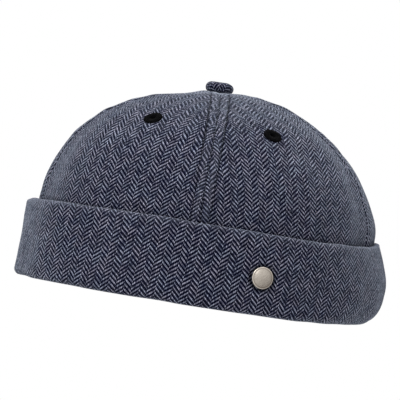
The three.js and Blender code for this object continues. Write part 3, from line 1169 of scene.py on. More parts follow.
@dataclass
class Gore:
    """One gore of the crown, with its sewn edges, its weave and its topstitching."""

    cut: GoreCut
    crown: CrownForm
    relief: SeamRelief
    cuff: "Cuff"
    wear_and_painted_light: GoreWearAndPaintedLight = GoreWearAndPaintedLight()
    rows: int = 118
    row_samples: int = 1500
    column_samples: int = 241
    middle_columns: int = 76
    height_rate: float = 1.03
    least_rate: float = 0.74
    most_bend: float = 0.05
    pressed_from: Span = (5.0, 17.0)
    eyelet_reach: float = 0.725
    eyelet_hole: float = 2.2
    edge_steps: tuple[float, ...] = (
        0.0, 0.16, 0.34, 0.54, 0.78, 1.06, 1.4, 1.8, 2.2, 2.6, 3.0, 3.4, 3.8, 4.15,
        4.45, 4.7, 4.95, 5.25, 5.6, 6.1, 6.7, 7.4, 8.2, 9.2,
    )
    edge_reach: float = 14.0

    def middle_line(self, rows: Array) -> Array:
        """Points of the smooth crown along the gore's middle."""
        return self.crown.smooth(np.full_like(rows, (self.cut.start + self.cut.end) / 2), rows)

    def row_values(self) -> Array:
        """Rows from the tip to the lower edge, evenly spaced along the middle of the gore.

        Returns:
            The row parameter of each.
        """
        fine = np.linspace(self.crown.first_row(), self.crown.last_row(), self.row_samples)
        length = run_of(self.middle_line(fine))
        return np.interp(np.linspace(0.0, length[-1], self.rows), length, fine)

    def columns_at(self, width: float) -> Array:
        """Spaces the points of one row, closer together beside the seams.

        Args:
            width: Width of the row.

        Returns:
            Distances from the first seam.
        """
        edge = np.array(self.edge_steps) * min(1.0, width / 2 / self.edge_reach)
        middle = np.linspace(edge[-1], width - edge[-1], self.middle_columns + 1)[1:-1]
        return np.concatenate([edge, middle, width - edge[::-1]])

    def grid(self) -> tuple[Array, Array, Array, Array]:
        """Works out where the gore's points stand.

        Returns:
            Angles, rows, distances from the first seam, and the widths of the rows.
        """
        rows = self.row_values()
        samples = np.linspace(self.cut.start, self.cut.end, self.column_samples)
        angles, distances, widths = [], [], []
        for row in rows:
            length = run_of(self.crown.smooth(samples, np.full_like(samples, row)))
            wanted = self.columns_at(length[-1])
            angles.append(np.interp(wanted, length, samples))
            distances.append(wanted)
            widths.append(length[-1])
        angle = np.array(angles)
        row = np.repeat(rows[:, None], angle.shape[1], axis=1)
        return angle, row, np.array(distances), np.array(widths)

    def weave(self, rows: Array, distances: Array, widths: Array) -> tuple[Array, Array]:
        """Cloth coordinates of the points, as the gore lay flat when it was cut.

        Args:
            rows: The row of each point.
            distances: Distance of each point from the first seam.
            widths: Width of each row.

        Returns:
            Distance from the middle line, and distance up from the lower edge.
        """
        u = distances - widths[:, None] / 2
        line = self.middle_line(rows[:, 0])
        length = run_of(line)
        bend = np.gradient(np.log(np.maximum(widths, 1.0)), length)
        bend = np.clip(bend, 0.0, self.most_bend)
        v = (length[-1] - length)[:, None] + u**2 * bend[:, None] / 2
        drawn = np.broadcast_to(self.drawn_out(line[:, 2], length)[:, None], u.shape)
        return u + self.cut.grain.shift(u, v), drawn

    def drawn_out(self, height: Array, length: Array) -> Array:
        """Measures up the cloth, where the crown's rounding draws it out lengthwise.

        Args:
            height: Height of the middle line by row.
            length: Length along it from the tip.

        Returns:
            Distance up from the lower edge by row.
        """
        steps = np.diff(length)
        rate = np.maximum(self.least_rate, self.height_rate * -np.diff(height) / steps)
        climbed = np.concatenate([[0.0], np.cumsum((rate * steps)[::-1])])
        return climbed[::-1]

    def build(self, finish: bpy.types.Material) -> None:
        """Makes the gore as one closed shell with a hole for its eyelet.

        Args:
            finish: The cloth.
        """
        angle, row, distance, width = self.grid()
        nearest = np.minimum(distance, width[:, None] - distance)
        first_half = distance < width[:, None] / 2
        smooth = self.crown.smooth(angle, row)
        pressed = ramp(self.crown.from_pole(smooth), self.pressed_from)
        stand = self.relief.height(nearest, smooth) * pressed
        outer = self.crown.surface(angle, row, stand)
        inner = self.crown.surface(angle, row, -self.crown.wall)
        # The fade: pale wear and painted highlight, and painted shade in the seams, under the stitches
        # and above the cuff.
        fade = self.wear_and_painted_highlight(outer, nearest, first_half) + self.shaded(angle, smooth, nearest, pressed)
        cloth = cloth_of(*self.weave(row, distance, width), fade)
        centre = (outer[:-1, :-1] + outer[1:, 1:]) / 2
        keep = np.linalg.norm(centre - self.eyelet_seat().point, axis=-1) > self.eyelet_hole
        draft = MeshDraft(f"gore_{self.cut.place}")
        draft.add_sheet(outer, inner, cloth, keep)
        draft.build(finish, Slot.TWEED, f"panel_{self.cut.place}")

    def by_seam(self, first_half: Array, front: float, other: float) -> Array:
        """The front seam's value on its half of the gore, and the other seams' elsewhere.

        Args:
            first_half: Whether a point is nearer the gore's first seam.
            front: The value beside the front seam.
            other: The value beside the others.

        Returns:
            The value at each point.
        """
        first = front if self.cut.start == 0.0 else other
        second = front if self.cut.end == 360.0 else other
        return np.where(first_half, first, second)

    def wear_and_painted_highlight(self, points: Array, nearest: Array, first_half: Array) -> Array:
        """How pale the cloth is along its ridges, round the button and over the top, most over the
        front seam: partly wear, partly painted highlight where the ridges and the top catch the light.

        Args:
            points: Points of the outer face.
            nearest: Distance from the nearest seam.
            first_half: Whether that is the gore's first seam.

        Returns:
            A positive fade.
        """
        wear_and_painted_light = self.wear_and_painted_light
        away = self.crown.from_pole(points)
        ridge = self.by_seam(first_half, wear_and_painted_light.ridge_front, wear_and_painted_light.ridge_other)
        tip = self.by_seam(first_half, wear_and_painted_light.tip_front, wear_and_painted_light.tip_other)
        near_button = bell(np.maximum(away - wear_and_painted_light.tip_from, 0.0), wear_and_painted_light.tip_over)
        fade = ridge * bell(nearest - self.relief.ridge.at, wear_and_painted_light.ridge_width)
        fade += tip * near_button * bell(nearest, wear_and_painted_light.tip_width)
        return fade + wear_and_painted_light.top * bell(np.maximum(away - wear_and_painted_light.top_from, 0.0), wear_and_painted_light.top_over)

    def shaded(self, angle: Array, points: Array, nearest: Array, pressed: Array) -> Array:
        """Painted shade: how dark the cloth is in its seams, under its stitches and in the gap just
        above the cuff.

        Args:
            angle: Degrees round the cap.
            points: Points of the smooth crown.
            nearest: Distance from the nearest seam.
            pressed: How far the seams' relief stands out.

        Returns:
            A negative fade.
        """
        wear_and_painted_light = self.wear_and_painted_light
        high = np.maximum(ramp(points[..., 2], wear_and_painted_light.shade_heights), wear_and_painted_light.least_shade)
        stitches = wear_and_painted_light.stitches * bell(nearest - self.relief.stitches.at, wear_and_painted_light.stitch_width)
        fade = high * stitches * np.clip(pressed * wear_and_painted_light.stitch_rate, 0.0, 1.0)
        fade += high * wear_and_painted_light.seam.over(nearest) * pressed
        above = points[..., 2] - self.cuff.value(angle, "height")
        side = np.abs(np.sin(np.radians(angle))) ** 3
        return fade + (wear_and_painted_light.cuff_front + wear_and_painted_light.cuff_side * side) * wear_and_painted_light.cuff_shade.over(above)

    def eyelet_seat(self) -> Seat:
        """Where the gore's eyelet sits."""
        return self.crown.seat(self.cut.eyelet, self.eyelet_reach)

    def stitch_line(self, side: Side) -> tuple[Array, Array]:
        """The line of topstitching beside one of the gore's seams.

        Args:
            side: Which seam.

        Returns:
            Points from the button to the cuff, and the way out of the cloth at each.
        """
        angle, row, distance, width = self.grid()
        beside = self.relief.stitches.at
        wanted = width - beside if side is Side.TO else np.full_like(width, beside)
        usable = width > 2 * beside + self.relief.spare_width
        at = [np.interp(w, d, a) for w, d, a in zip(wanted, distance, angle)]
        angles = np.array(at)[usable][:, None]
        rows = row[usable][:, :1]
        smooth = self.crown.smooth(angles, rows)
        stand = self.relief.height(np.full(smooth.shape[:-1], beside), smooth)
        line = self.crown.surface(angles, rows, stand)
        return line[:, 0], self.crown.normal(angles, rows)[:, 0]


@dataclass(frozen=True)
class Topstitch:
    """Topstitches laid one after another along a line, in millimetres.

    Each has rings whose height and thickness are given as shares of its radius.
    """

    length: float = 2.9
    gap: float = 0.5
    radius: float = 0.2
    sides: int = 7
    sunk: float = 0.1
    rise: tuple[float, ...] = (-1.6, 0.3, 0.9, 0.3, -1.6)
    thick: tuple[float, ...] = (0.55, 0.95, 1.0, 0.95, 0.55)

    def add(self, draft: MeshDraft, line: Array, normals: Array) -> None:
        """Adds the stitches of one line to a draft.

        Args:
            draft: The mesh that collects them.
            line: Points along the line.
            normals: The way out of the cloth at each point.
        """
        length = run_of(line)
        pitch = self.length + self.gap
        for k in range(int(length[-1] // pitch)):
            at = k * pitch + np.linspace(0.0, self.length, len(self.rise))
            path, out = (
                np.stack([np.interp(at, length, part) for part in values.T], axis=-1)
                for values in (line, normals)
            )
            self.add_stitch(draft, path, unit(out))

    def add_stitch(self, draft: MeshDraft, path: Array, out: Array) -> None:
        """Adds one stitch, which dips into the cloth at both ends.

        Args:
            draft: The mesh that collects it.
            path: Points along the stitch.
            out: The way out of the cloth at each.
        """
        rise = np.array(self.rise) * self.radius - self.sunk
        thick = np.array(self.thick) * self.radius
        side = unit(np.cross(unit(np.gradient(path, axis=0)), out))
        turn = circle(self.sides)
        ring = np.cos(turn)[:, None] * side[:, None] + np.sin(turn)[:, None] * out[:, None]
        points = (path + out * rise[:, None])[:, None] + ring * thick[:, None, None]
        along = np.linspace(0, self.length, len(rise))[:, None]
        draft.add_solid(points, cloth_of(along, turn * self.radius))


# Trims


@dataclass
class Eyelet:
    """An embroidered eyelet: satin stitches laid round a small hole, in millimetres."""

    place: str
    seat: Seat
    wall: float
    seed: int
    outer: float = 4.7
    hole: float = 1.1
    height: float = 1.05
    behind: float = 0.5
    stitches: int = 54
    steps_in_stitch: int = 6
    pitch: float = 0.9
    ridge: float = 0.2
    uneven: float = 0.1
    uneven_rise: float = 0.2
    uneven_from: float = 3.4
    top_heights: Span = (-0.2, 0.4)
    top_width: float = 1.5
    least_top: float = 0.25

    def profile(self) -> Array:
        """The section from the outer foot over the top, through the hole and out behind.

        Returns:
            Radius and height of each point.
        """
        foot, hole = self.outer, self.hole
        back = -self.wall - self.behind
        return np.array([
            (foot - 0.1, -0.45), (foot, 0.05), (foot - 0.12, 0.42), (foot - 0.45, 0.74),
            (foot - 0.95, 0.96), (foot - 1.6, self.height), (foot - 2.2, 0.98), (foot - 2.8, 0.78),
            (hole + 0.4, 0.45), (hole + 0.1, 0.0), (hole, -0.8), (hole + 0.1, back + 0.3),
            (hole + 0.6, back), (foot - 1.8, back), (foot - 1.2, back + 0.3),
            (foot - 1.3, -self.wall + 0.2), (foot - 0.1, -0.45),
        ])

    def build(self, finish: bpy.types.Material) -> None:
        """Makes the ring of satin stitches, seated on its gore.

        Args:
            finish: The embroidery thread.
        """
        rng = np.random.default_rng(self.seed)
        count = self.stitches * self.steps_in_stitch
        which = np.arange(count) // self.steps_in_stitch
        within = (np.arange(count) % self.steps_in_stitch + 0.5) / self.steps_in_stitch
        ridge = self.ridge * (0.5 - (2.0 * within - 1.0) ** 2)
        uneven = rng.normal(0.0, self.uneven, self.stitches)[which]
        profile = self.profile()
        radius, height = profile[:, :1], profile[:, 1:]
        inwards = np.clip((radius - self.hole) / self.top_width, self.least_top, 1.0)
        on_top = ramp(height, self.top_heights) * inwards
        radius = radius + on_top * uneven * (radius > self.uneven_from)
        height = height + on_top * (ridge + self.uneven_rise * uneven)
        local = turned(radius, height, circle(count))
        cloth = cloth_of(run_of(profile)[:, None], which * self.pitch)
        draft = MeshDraft(f"embroidery_{self.place}")
        draft.add_grid(self.seat.place(local), cloth, ring=True, flip=True)
        draft.build(finish, Slot.THREAD, f"eyelet_{self.place}")


@dataclass
class Button:
    """The cloth-covered button over the tips of the gores, in millimetres.

    `profile` holds shares of the radius and the height, `back` radii and heights of the disc
    that holds the button from inside.
    """

    crown: CrownForm
    radius: float = 7.3
    height: float = 5.0
    steps: int = 96
    back_steps: int = 48
    tucks: int = 14
    tuck_depth: float = 0.1
    tuck_phase: float = 1.3
    tuck_rate: float = 2.2
    ripple: Ripple = Ripple(seed=8, height=0.08, shortest=3.0, longest=9.0)
    ripple_rate: float = 2.0
    cut_at: float = 40.0
    profile: Profile = (
        (0.3, -0.1), (0.7, -0.08), (0.84, -0.04), (0.93, 0.07), (0.98, 0.2), (1.0, 0.34),
        (1.0, 0.46), (0.98, 0.58), (0.94, 0.69), (0.88, 0.79), (0.79, 0.87), (0.68, 0.93),
        (0.55, 0.965), (0.4, 0.985), (0.25, 0.995), (0.1, 1.0), (0.02, 1.0),
    )
    back: Profile = ((4.9, 0.95), (5.0, 0.7), (4.95, 0.3), (4.6, 0.05), (2.0, 0.0))

    def build(self, finish: bpy.types.Material) -> None:
        """Makes the button with the disc inside the crown.

        Args:
            finish: The cloth.
        """
        low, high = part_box("button")
        pole = self.crown.smooth(np.zeros(1), np.zeros(1))[0] * (1.0, 1.0, 0.0)
        share = np.array(self.profile)
        radius = share[:, :1] * self.radius
        height = high[2] / MM - self.height + share[:, 1:] * self.height
        turn = circle(self.steps)
        creases = self.tuck_depth * np.cos(turn * self.tucks + self.tuck_phase)
        creases = creases * np.clip(1.0 - share[:, 1:] * self.tuck_rate, 0.0, 1.0)
        points = pole + turned(radius + creases, height, turn)
        points[..., 2] += self.ripple.at(points) * np.clip(share[:, 1:] * self.ripple_rate, 0.0, 1.0)
        from_top = run_of(np.hstack([radius, height])[::-1])[::-1, None] + radius[-1]
        cloth = cloth_of(from_top * np.cos(turn), from_top * np.sin(turn) + self.cut_at)
        draft = MeshDraft("covered_button")
        draft.add_solid(points, cloth, flip=True)
        back = np.array(self.back)
        disc = pole + turned(back[:, :1], low[2] / MM + back[:, 1:], circle(self.back_steps))
        draft.add_solid(disc, cloth_of(disc[..., 0], disc[..., 1]))
        draft.build(finish, Slot.TWEED, "button")


@dataclass(frozen=True)
class CuffRow:
    """The cuff at one angle, in millimetres.

    `foot`, `low`, `high` and `top` are offsets of the outer face; `out` and `up` are the size
    of its lower corner; `lift` is how far its underside is off the table.
    """

    angle: float
    height: float
    lift: float
    foot: float
    low: float
    high: float
    top: float
    fold: float
    out: float
    up: float


@dataclass
class Cuff:
    """The turned-up band: one ring of folded cloth round the crown, in millimetres."""

    crown: CrownForm
    wall: float = 3.0
    floor: float = 2.2
    leg: float = 2.0
    inner_radius: float = 1.4
    least_floor: float = 0.2
    least_turn: float = 0.6
    clearance: float = 0.8
    gap: float = 0.3
    face_knots: tuple[float, ...] = (0.0, 0.33, 0.68, 1.0)
    leg_steps: int = 4
    turn_steps: int = 6
    corner_steps: int = 12
    face_steps: int = 30
    fold_steps: int = 15
    hidden_fold_steps: int = 4
    soft_steps: int = 7
    columns: int = 640
    back_seam: float = 180.0
    seam_columns: tuple[float, ...] = (0.08, 0.16, 0.26, 0.4, 0.7, 1.0, 1.35)
    seam_groove: Strip = Strip(-1.1, 0.0, 0.5)
    seam_ridge: Strip = Strip(0.35, 2.2, 1.6)
    seam_wear: Strip = Strip(0.1, 2.2, 1.6)
    # Pale wear and painted highlight along the fold; the extra at the sides is painted highlight.
    fold_wear_and_highlight: float = 0.07
    fold_highlight_at_side: float = 0.17
    fold_wear_and_highlight_width: float = 1.8
    stud_angle: float = 19.9
    stud_height: float = 18.4
    stud_radius: float = 5.6
    # Painted shade round the stud.
    stud_shade: Strip = Strip(-0.85, 0.35, 0.9)
    middle: float = 6.0
    grain: Grain = Grain(
        terms=((0, 0, -0.86), (0, 1, -3.47), (2, 0, 1.87), (3, 0, -0.16), (2, 1, 0.61), (0, 2, 2.18)),
        middle=20.0,
        u_range=(-95.0, 95.0),
    )
    ripple: Ripple = Ripple(seed=21, height=0.22, shortest=14.0, longest=46.0)
    rows: tuple[CuffRow, ...] = (
        CuffRow(-90, 39.0, 0.0, 7.0, 6.4, 6.1, 6.1, 2.1, 3, 3),
        CuffRow(-50, 39.8, 0.0, 6.5, 6.2, 5.8, 5.6, 1.9, 3, 3),
        CuffRow(0, 40.1, 0.0, 6.3, 6.5, 5.9, 5.2, 1.8, 3, 3),
        CuffRow(22, 39.6, 0.0, 6.2, 6.6, 6.0, 5.0, 1.8, 3, 3),
        CuffRow(42, 39.7, 0.2, 6.7, 7.1, 6.3, 4.6, 1.7, 4, 4),
        CuffRow(66, 40.9, 1.4, 8.1, 8.2, 6.5, 3.8, 1.4, 7, 10),
        CuffRow(90, 43.7, 2.5, 9.4, 8.9, 6.2, 3.1, 1.2, 10.5, 15),
        CuffRow(116, 42.7, 1.5, 8.5, 8.3, 6.4, 3.9, 1.4, 7, 10),
        CuffRow(150, 41.0, 0.2, 6.9, 7.1, 6.2, 5.0, 1.7, 4, 4),
        CuffRow(180, 40.6, 0.0, 6.3, 6.6, 6.0, 5.3, 1.8, 3, 3),
        CuffRow(225, 40.2, 0.0, 6.6, 6.4, 5.9, 5.7, 1.9, 3, 3),
    )

    def value(self, angle: Array, key: str) -> Array:
        """One column of the table at any angle, smoothly between its rows.

        Args:
            angle: Degrees round the cap.
            key: The column's name.

        Returns:
            The column's value at each angle.
        """
        at = np.array([row.angle for row in self.rows], float)
        known = np.array([getattr(row, key) for row in self.rows], float)
        wrapped = np.mod(angle - at[0], 360.0) + at[0]
        at = np.concatenate([at[-2:] - 360.0, at, at[:3] + 360.0])
        known = np.concatenate([known[-2:], known, known[:3]])
        slope = np.empty_like(known)
        slope[1:-1] = (known[2:] - known[:-2]) / (at[2:] - at[:-2])
        slope[0], slope[-1] = slope[1], slope[-2]
        k = np.clip(np.searchsorted(at, wrapped, side="right") - 1, 1, len(at) - 3)
        span = at[k + 1] - at[k]
        t = (wrapped - at[k]) / span
        found = (
            (2 * t**3 - 3 * t**2 + 1) * known[k]
            + (t**3 - 2 * t**2 + t) * slope[k] * span
            + (3 * t**2 - 2 * t**3) * known[k + 1]
            + (t**3 - t**2) * slope[k + 1] * span
        )
        return np.maximum(found, 0.0) if key == "lift" else found

    def face_span(self, angle: Array) -> tuple[Array, Array]:
        """Heights of the outer face's foot and of its fold."""
        foot = self.value(angle, "lift") + self.value(angle, "up")
        return foot, self.value(angle, "height") - self.value(angle, "fold")

    def face(self, angle: Array, share: Array | float) -> tuple[Array, Array]:
        """Places the outer face.

        Args:
            angle: Degrees round the cap.
            share: Share of the way from the foot to the fold.

        Returns:
            Offsets from the crown's wall, and heights.
        """
        offset = np.zeros(np.broadcast(angle, share).shape)
        for own, key in zip(self.face_knots, ("foot", "low", "high", "top")):
            weight = np.ones_like(offset)
            for other in self.face_knots:
                if other != own:
                    weight = weight * (share - other) / (own - other)
            offset = offset + weight * self.value(angle, key)
        foot, top = self.face_span(angle)
        return offset, foot + (top - foot) * share

    def section(self, angle: Array) -> tuple[Array, Array, slice]:
        """The closed section at each angle, from the inner leg round to it again.

        Args:
            angle: Angles of the columns.

        Returns:
            Offsets and heights by step of the section and angle, and the steps of the outer face.
        """
        height, lift, foot, top, fold, out, up = (
            self.value(angle, key) for key in ("height", "lift", "foot", "top", "fold", "out", "up")
        )
        leg_top = self.crown.lower_edge - self.gap
        corner = foot - out
        bend = np.minimum(self.inner_radius, corner + self.leg - self.least_floor)
        steps: list[tuple[Array | float, Array | float]] = []
        for z in np.linspace(leg_top, self.inner_radius, self.leg_steps)[:-1]:
            steps.append((-self.leg, z + lift * (leg_top - z) / leg_top))
        for turn in np.linspace(0.0, QUARTER, self.turn_steps):
            steps.append((bend * (1 - math.cos(turn)) - self.leg, lift + bend * (1 - math.sin(turn))))
        steps.append(((corner + bend - self.leg) / 2, lift))
        first = len(steps)
        for turn in np.linspace(0.0, QUARTER, self.corner_steps):
            steps.append((corner + out * math.sin(turn), lift + up * (1 - math.cos(turn))))
        for share in np.linspace(0.0, 1.0, self.face_steps)[1:]:
            steps.append(self.face(angle, share))
        for turn in np.linspace(0.0, math.pi, self.fold_steps)[1:]:
            steps.append((top - fold * (1 - math.cos(turn)), height - fold * (1 - math.sin(turn))))
        last = len(steps) - self.hidden_fold_steps
        for share in np.linspace(1.0, 0.0, self.corner_steps)[1:]:
            offset, z = self.face(angle, share)
            steps.append((offset - self.wall - (2 * fold - self.wall) * share, z))
        inside = foot - self.wall
        reach = np.maximum(self.least_turn, np.minimum(out, inside - self.clearance))
        rise = np.maximum(self.least_turn, up - self.floor)
        for turn in np.linspace(QUARTER, 0.0, self.turn_steps)[1:]:
            z = lift + self.floor + rise * (1 - math.cos(turn))
            steps.append((inside - reach * (1 - math.sin(turn)), z))
        steps.append((0.0, lift + self.floor))
        steps.append((0.0, leg_top))
        offsets, heights = (
            np.array([np.broadcast_to(part, angle.shape) for part in parts]) for parts in zip(*steps)
        )
        return offsets, heights, slice(first, last)

    def angles(self) -> Array:
        """Angles of the columns, closer together at the seam in the back.

        Returns:
            Degrees round the cap, in rising order.
        """
        seam, close = self.back_seam, np.array(self.seam_columns)
        even = np.linspace(seam - 360.0, seam, self.columns, endpoint=False)
        beside = [seam - 360.0 + close, seam - close, [seam]]
        return np.unique(np.round(np.concatenate([even, *beside]), 5))

    def build(self, finish: bpy.types.Material) -> None:
        """Makes the cuff as one closed ring, sewn at the back.

        Args:
            finish: The cloth.
        """
        angle = self.angles()
        offset, height, outside = self.section(angle)
        walls = self.crown.beyond_rim(np.broadcast_to(angle, offset.shape), offset)
        points = np.concatenate([walls, height[..., None]], axis=-1)
        normal = unit(np.cross(np.gradient(points, axis=1), np.gradient(points, axis=0)))
        weight = np.zeros(len(points))
        weight[outside] = 1.0
        soft = np.ones(self.soft_steps) / self.soft_steps
        weight = np.convolve(weight, soft, mode="same")[:, None]
        u = run_of(self.crown.beyond_rim(angle, np.full_like(angle, self.middle)))
        u -= np.interp(0.0, angle, u)
        beside = np.minimum(u - u[0], u[-1] - u)
        sewn = self.seam_groove.over(beside) + self.seam_ridge.over(beside)
        points += normal * (weight * (self.ripple.at(points) + sewn))[..., None]
        points[..., 2] = np.maximum(points[..., 2], 0.0)
        points[:, -1] = points[:, 0]
        v = run_of(points)
        v = v - v[outside.start]
        fade = self.fade(angle, points, height, beside, weight)
        cloth = cloth_of(u + self.grain.shift(np.broadcast_to(u, v.shape), v), v, fade)
        draft = MeshDraft("turned_up_cuff")
        closed = np.concatenate([points, points[:1]])
        draft.add_grid(closed, np.concatenate([cloth, cloth[-1:]]), flip=True)
        draft.build(finish, Slot.TWEED, "cuff")

    def fade(self, angle: Array, points: Array, height: Array, beside: Array, weight: Array) -> Array:
        """Paler cloth along the fold, partly wear and partly painted highlight that grows towards the
        sides; wear along the back seam; and painted shade round the stud.

        Args:
            angle: Angles of the columns.
            points: Points by step of the section and angle.
            height: Heights of the points before the ripple.
            beside: Distance of each column from the back seam.
            weight: How far each step belongs to the outer face.

        Returns:
            The fade of each point.
        """
        side = np.abs(np.sin(np.radians(angle))) ** 3
        fold = bell(self.value(angle, "height") - height, self.fold_wear_and_highlight_width)
        fold = (self.fold_wear_and_highlight + self.fold_highlight_at_side * side) * fold
        away = np.linalg.norm(points - self.stud_seat().point, axis=-1)
        wear_and_painted_highlight = (fold + self.seam_wear.over(beside)) * weight
        return wear_and_painted_highlight + self.stud_shade.over(away - self.stud_radius)

    def on_face(self, angle: float, height: float) -> Array:
        """One point of the outer face.

        Args:
            angle: Degrees round the cap.
            height: Height of the point.

        Returns:
            The point in millimetres.
        """
        place = np.array([angle])
        foot, top = self.face_span(place)
        offset, _ = self.face(place, (height - foot) / (top - foot))
        return np.append(self.crown.beyond_rim(place, offset)[0], height)

    def stud_seat(self) -> Seat:
        """Where the stud lies on the outer face.

        Returns:
            The point under the stud, and the way that the cuff faces there.
        """
        angle, height, reach = self.stud_angle, self.stud_height, self.stud_radius
        up = self.on_face(angle, height + reach) - self.on_face(angle, height - reach)
        turn = self.on_face(angle + 1.0, height) - self.on_face(angle - 1.0, height)
        here = self.on_face(angle, height)
        normal = unit(np.cross(turn, up))
        return Seat(here + normal * self.ripple.at(here[None])[0], normal)


@dataclass
class Stud:
    """The bare metal stud on the cuff, in millimetres.

    `face` holds insets from the radius and heights, from the foot of the rim over its bead and
    the dome to the middle. `plate` holds the same for the rivet plate behind the cuff.
    """

    seat: Seat
    cuff_wall: float
    radius: float = 5.4
    face: Profile = (
        (0.5, -0.2), (0.12, 0.05), (0.0, 0.35), (0.02, 0.65), (0.16, 0.9), (0.36, 1.0),
        (0.54, 0.95), (0.66, 0.84), (0.82, 0.86), (1.1, 1.04), (1.6, 1.36), (2.3, 1.7),
        (3.1, 1.98), (4.0, 2.16), (4.8, 2.23), (5.32, 2.24),
    )
    plate_radius: float = 2.6
    behind: float = 0.3
    plate: Profile = (
        (1.7, 0.0), (0.2, 0.0), (0.0, -0.2), (0.1, -0.5), (0.5, -0.6), (2.52, -0.6),
    )
    steps: int = 96
    dull: float = 0.3
    # Painted shade on the lower side and in the rim's groove, and a painted highlight on the bead.
    low_side_shade: float = 0.6
    groove: Strip = Strip(0.5, -0.8, 0.22)
    bead_highlight: Strip = Strip(-0.3, -0.25, 0.35)

    def build(self, finish: bpy.types.Material) -> None:
        """Makes the stud with its rivet plate behind the cuff.

        Args:
            finish: The metal.
        """
        draft = MeshDraft("round_stud")
        face, plate = np.array(self.face), np.array(self.plate)
        face[:, 0] = self.radius - face[:, 0]
        plate[:, 0] = self.plate_radius - plate[:, 0]
        plate[:, 1] -= self.cuff_wall + self.behind
        post = [[plate[0, 0], 0.0]]
        for profile, flip in ((face, True), (np.concatenate([post, plate]), False)):
            radius, height = profile[:, :1], profile[:, 1:]
            local = turned(radius, height, circle(self.steps))
            edge = radius - self.radius
            low = (local[..., 0] - local[..., 1]) / (2.0 * self.radius)
            # Painted shade on the lower side and in the groove, and a painted highlight on the bead.
            fade = self.groove.over(edge) + self.bead_highlight.over(edge) + self.dull + self.low_side_shade * low
            cloth = cloth_of(local[..., 0], local[..., 1], fade)
            draft.add_solid(self.seat.place(local), cloth, flip=flip)
        draft.build(finish, Slot.METAL, "stud")


# The studio


@dataclass(frozen=True)
class AreaLight:
    """A soft square light that faces the cap: its place and width in metres, its power in watts."""

    name: str
    place: tuple[float, float, float]
    width: float
    power: float

    def build(self, target: Vector) -> None:
        """Hangs the light and turns it towards a point.

        Args:
            target: The point in metres.
        """
        data = bpy.data.lights.new(self.name, "AREA")
        data.shape = "SQUARE"
        data.size = self.width
        data.energy = self.power
        made = link(self.name, data)
        made.location = self.place
        made.rotation_euler = (target - made.location).to_track_quat("-Z", "Y").to_euler()


@dataclass(frozen=True)
class Studio:
    """White surroundings, a white floor and soft lights; the floor's rings are in millimetres."""

    sky: float = 1.0
    aim: tuple[float, float, float] = (0.0, 0.0, 0.05)
    floor_rings: tuple[float, ...] = (20.0, 200.0, 600.0, 2000.0, 6000.0)
    floor_steps: int = 96
    lights: tuple[AreaLight, ...] = (
        AreaLight("key_light", (-1.1, -1.3, 1.7), 1.2, 34.0),
        AreaLight("fill_light", (1.3, -1.2, 0.7), 1.2, 0.5),
        AreaLight("top_light", (-0.1, 0.5, 1.8), 1.4, 14.0),
    )

    def build(self) -> None:
        """Makes the surroundings, the floor and the lights."""
        world = bpy.data.worlds.new("white_surroundings")
        world.use_nodes = True
        self.glow(ShaderGraph(world.node_tree), "ShaderNodeBackground")
        bpy.context.scene.world = world
        self.add_floor()
        for light in self.lights:
            light.build(Vector(self.aim))

    def glow(self, g: ShaderGraph, kind: str) -> None:
        """Fills a graph with plain white light."""
        inputs = {"Color": (1.0, 1.0, 1.0), "Strength": self.sky}
        g.surface(g.out(kind, 0, inputs=inputs))

    def add_floor(self) -> None:
        """Makes the floor, as bright as the surroundings so that its end doesn't show."""
        material, g = new_material("white_floor")
        self.glow(g, "ShaderNodeEmission")
        radius = np.array(self.floor_rings)[:, None]
        points = turned(radius, np.zeros_like(radius), circle(self.floor_steps))
        draft = MeshDraft("floor")
        draft.add_grid(points, np.zeros_like(points), ring=True)
        draft.add_cap(points[0], np.zeros_like(points[0]))
        draft.make(material)


@dataclass(frozen=True)
class PhotoCamera:
    """The camera that took the photo, as fitted to its outline.

    Lengths are in metres, angles in degrees, and `focal`, `centre_x` and `centre_y` in pixels
    of a picture that is `picture` pixels wide. The sensor's width is in millimetres.
    """

    distance: float = 1.3
    height: float = 0.038
    yaw: float = 1.7
    roll: float = 8.9
    focal: float = 2510.4
    centre_x: float = 211.9
    centre_y: float = 226.5
    picture: float = 400.0
    sensor: float = 36.0
    nearest: float = 0.05
    farthest: float = 50.0

    def build(self) -> None:
        """Makes the camera and chooses how the picture shows its light."""
        turn = math.radians(self.yaw)
        right = Vector((math.cos(turn), math.sin(turn), 0.0))
        ahead = Vector((-math.sin(turn), math.cos(turn), 0.0))
        up = Vector((0.0, 0.0, 1.0))
        middle = self.picture / 2
        aim = ahead + right * ((middle - self.centre_x) / self.focal)
        aim = (aim + up * ((self.centre_y - middle) / self.focal)).normalized()
        data = bpy.data.cameras.new("photo_camera")
        data.sensor_width = self.sensor
        data.lens = self.focal / self.picture * self.sensor
        data.clip_start = self.nearest
        data.clip_end = self.farthest
        side = aim.cross(up).normalized()
        facing = Matrix((side, side.cross(aim), -aim)).transposed().to_4x4()
        place = Matrix.Translation(up * self.height - ahead * self.distance)
        made = link("photo_camera", data)
        made.matrix_world = place @ facing @ Matrix.Rotation(math.radians(self.roll), 4, "Z")
        bpy.context.scene.camera = made
        bpy.context.scene.view_settings.view_transform = "Standard"


# The cap


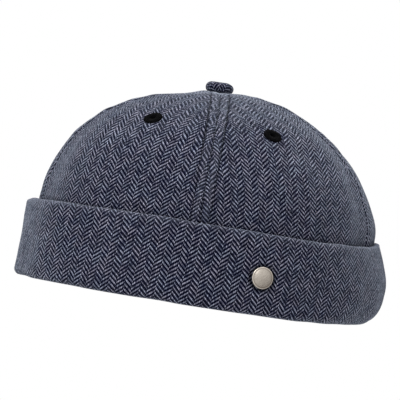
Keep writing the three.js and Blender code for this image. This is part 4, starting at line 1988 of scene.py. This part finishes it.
GORES = (
    GoreCut("front_left", 0.0, 73.0, 25.2, Grain(
        terms=(
            (0, 0, -2.33), (1, 0, -1.32), (0, 1, -9.79), (1, 1, -8.06),
            (0, 2, -7.15), (2, 0, -3.56), (2, 1, -3.36), (1, 2, -0.63),
        ),
        middle=75.0,
        u_range=(-55.0, 2.0),
        v_range=(-25.0, 16.0),
    )),
    GoreCut("side_left", 73.0, 127.0, 107.0),
    GoreCut("back_left", 127.0, 180.0, 152.0),
    GoreCut("back_right", 180.0, 233.0, 208.0),
    GoreCut("side_right", 233.0, 286.0, 253.0),
    GoreCut("front_right", 286.0, 360.0, 331.0, Grain(
        terms=(
            (0, 0, -0.9), (1, 0, -1.4), (0, 1, 8.29), (1, 1, 2.81),
            (0, 2, 5.93), (2, 0, 1.24), (2, 1, -4.98), (1, 2, -1.97),
        ),
        middle=75.0,
        u_range=(-10.0, 55.0),
        v_range=(-25.0, 22.0),
    )),
)


def main() -> None:
    """Builds the cap, the studio and the camera."""
    logging.basicConfig(level=logging.INFO, format="%(message)s")
    tweed = TweedFinish("herringbone_tweed").material()
    button_tweed = TweedFinish("button_tweed", sheen=0.2).material()
    embroidery = ThreadFinish("embroidery_thread", linear(2, 2, 3), linear(9, 9, 11)).material()
    topstitch = ThreadFinish("topstitch_thread", linear(8, 9, 18), linear(26, 28, 42), 0.5).material()
    nickel = NickelFinish("nickel").material()

    crown = CrownForm()
    cuff = Cuff(crown)
    stitches = Topstitch()
    for k, cut in enumerate(GORES):
        gore = Gore(cut, crown, SeamRelief(), cuff)
        gore.build(tweed)
        draft = MeshDraft(f"topstitches_{cut.place}")
        for side in Side:
            stitches.add(draft, *gore.stitch_line(side))
        draft.build(topstitch, Slot.THREAD, f"panel_{cut.place}")
        Eyelet(cut.place, gore.eyelet_seat(), crown.wall, EYELET_SEED + k).build(embroidery)
    Button(crown).build(button_tweed)
    cuff.build(tweed)
    Stud(cuff.stud_seat(), cuff.wall).build(nickel)
    Studio().build()
    PhotoCamera().build()


if __name__ == "__main__":
    main()
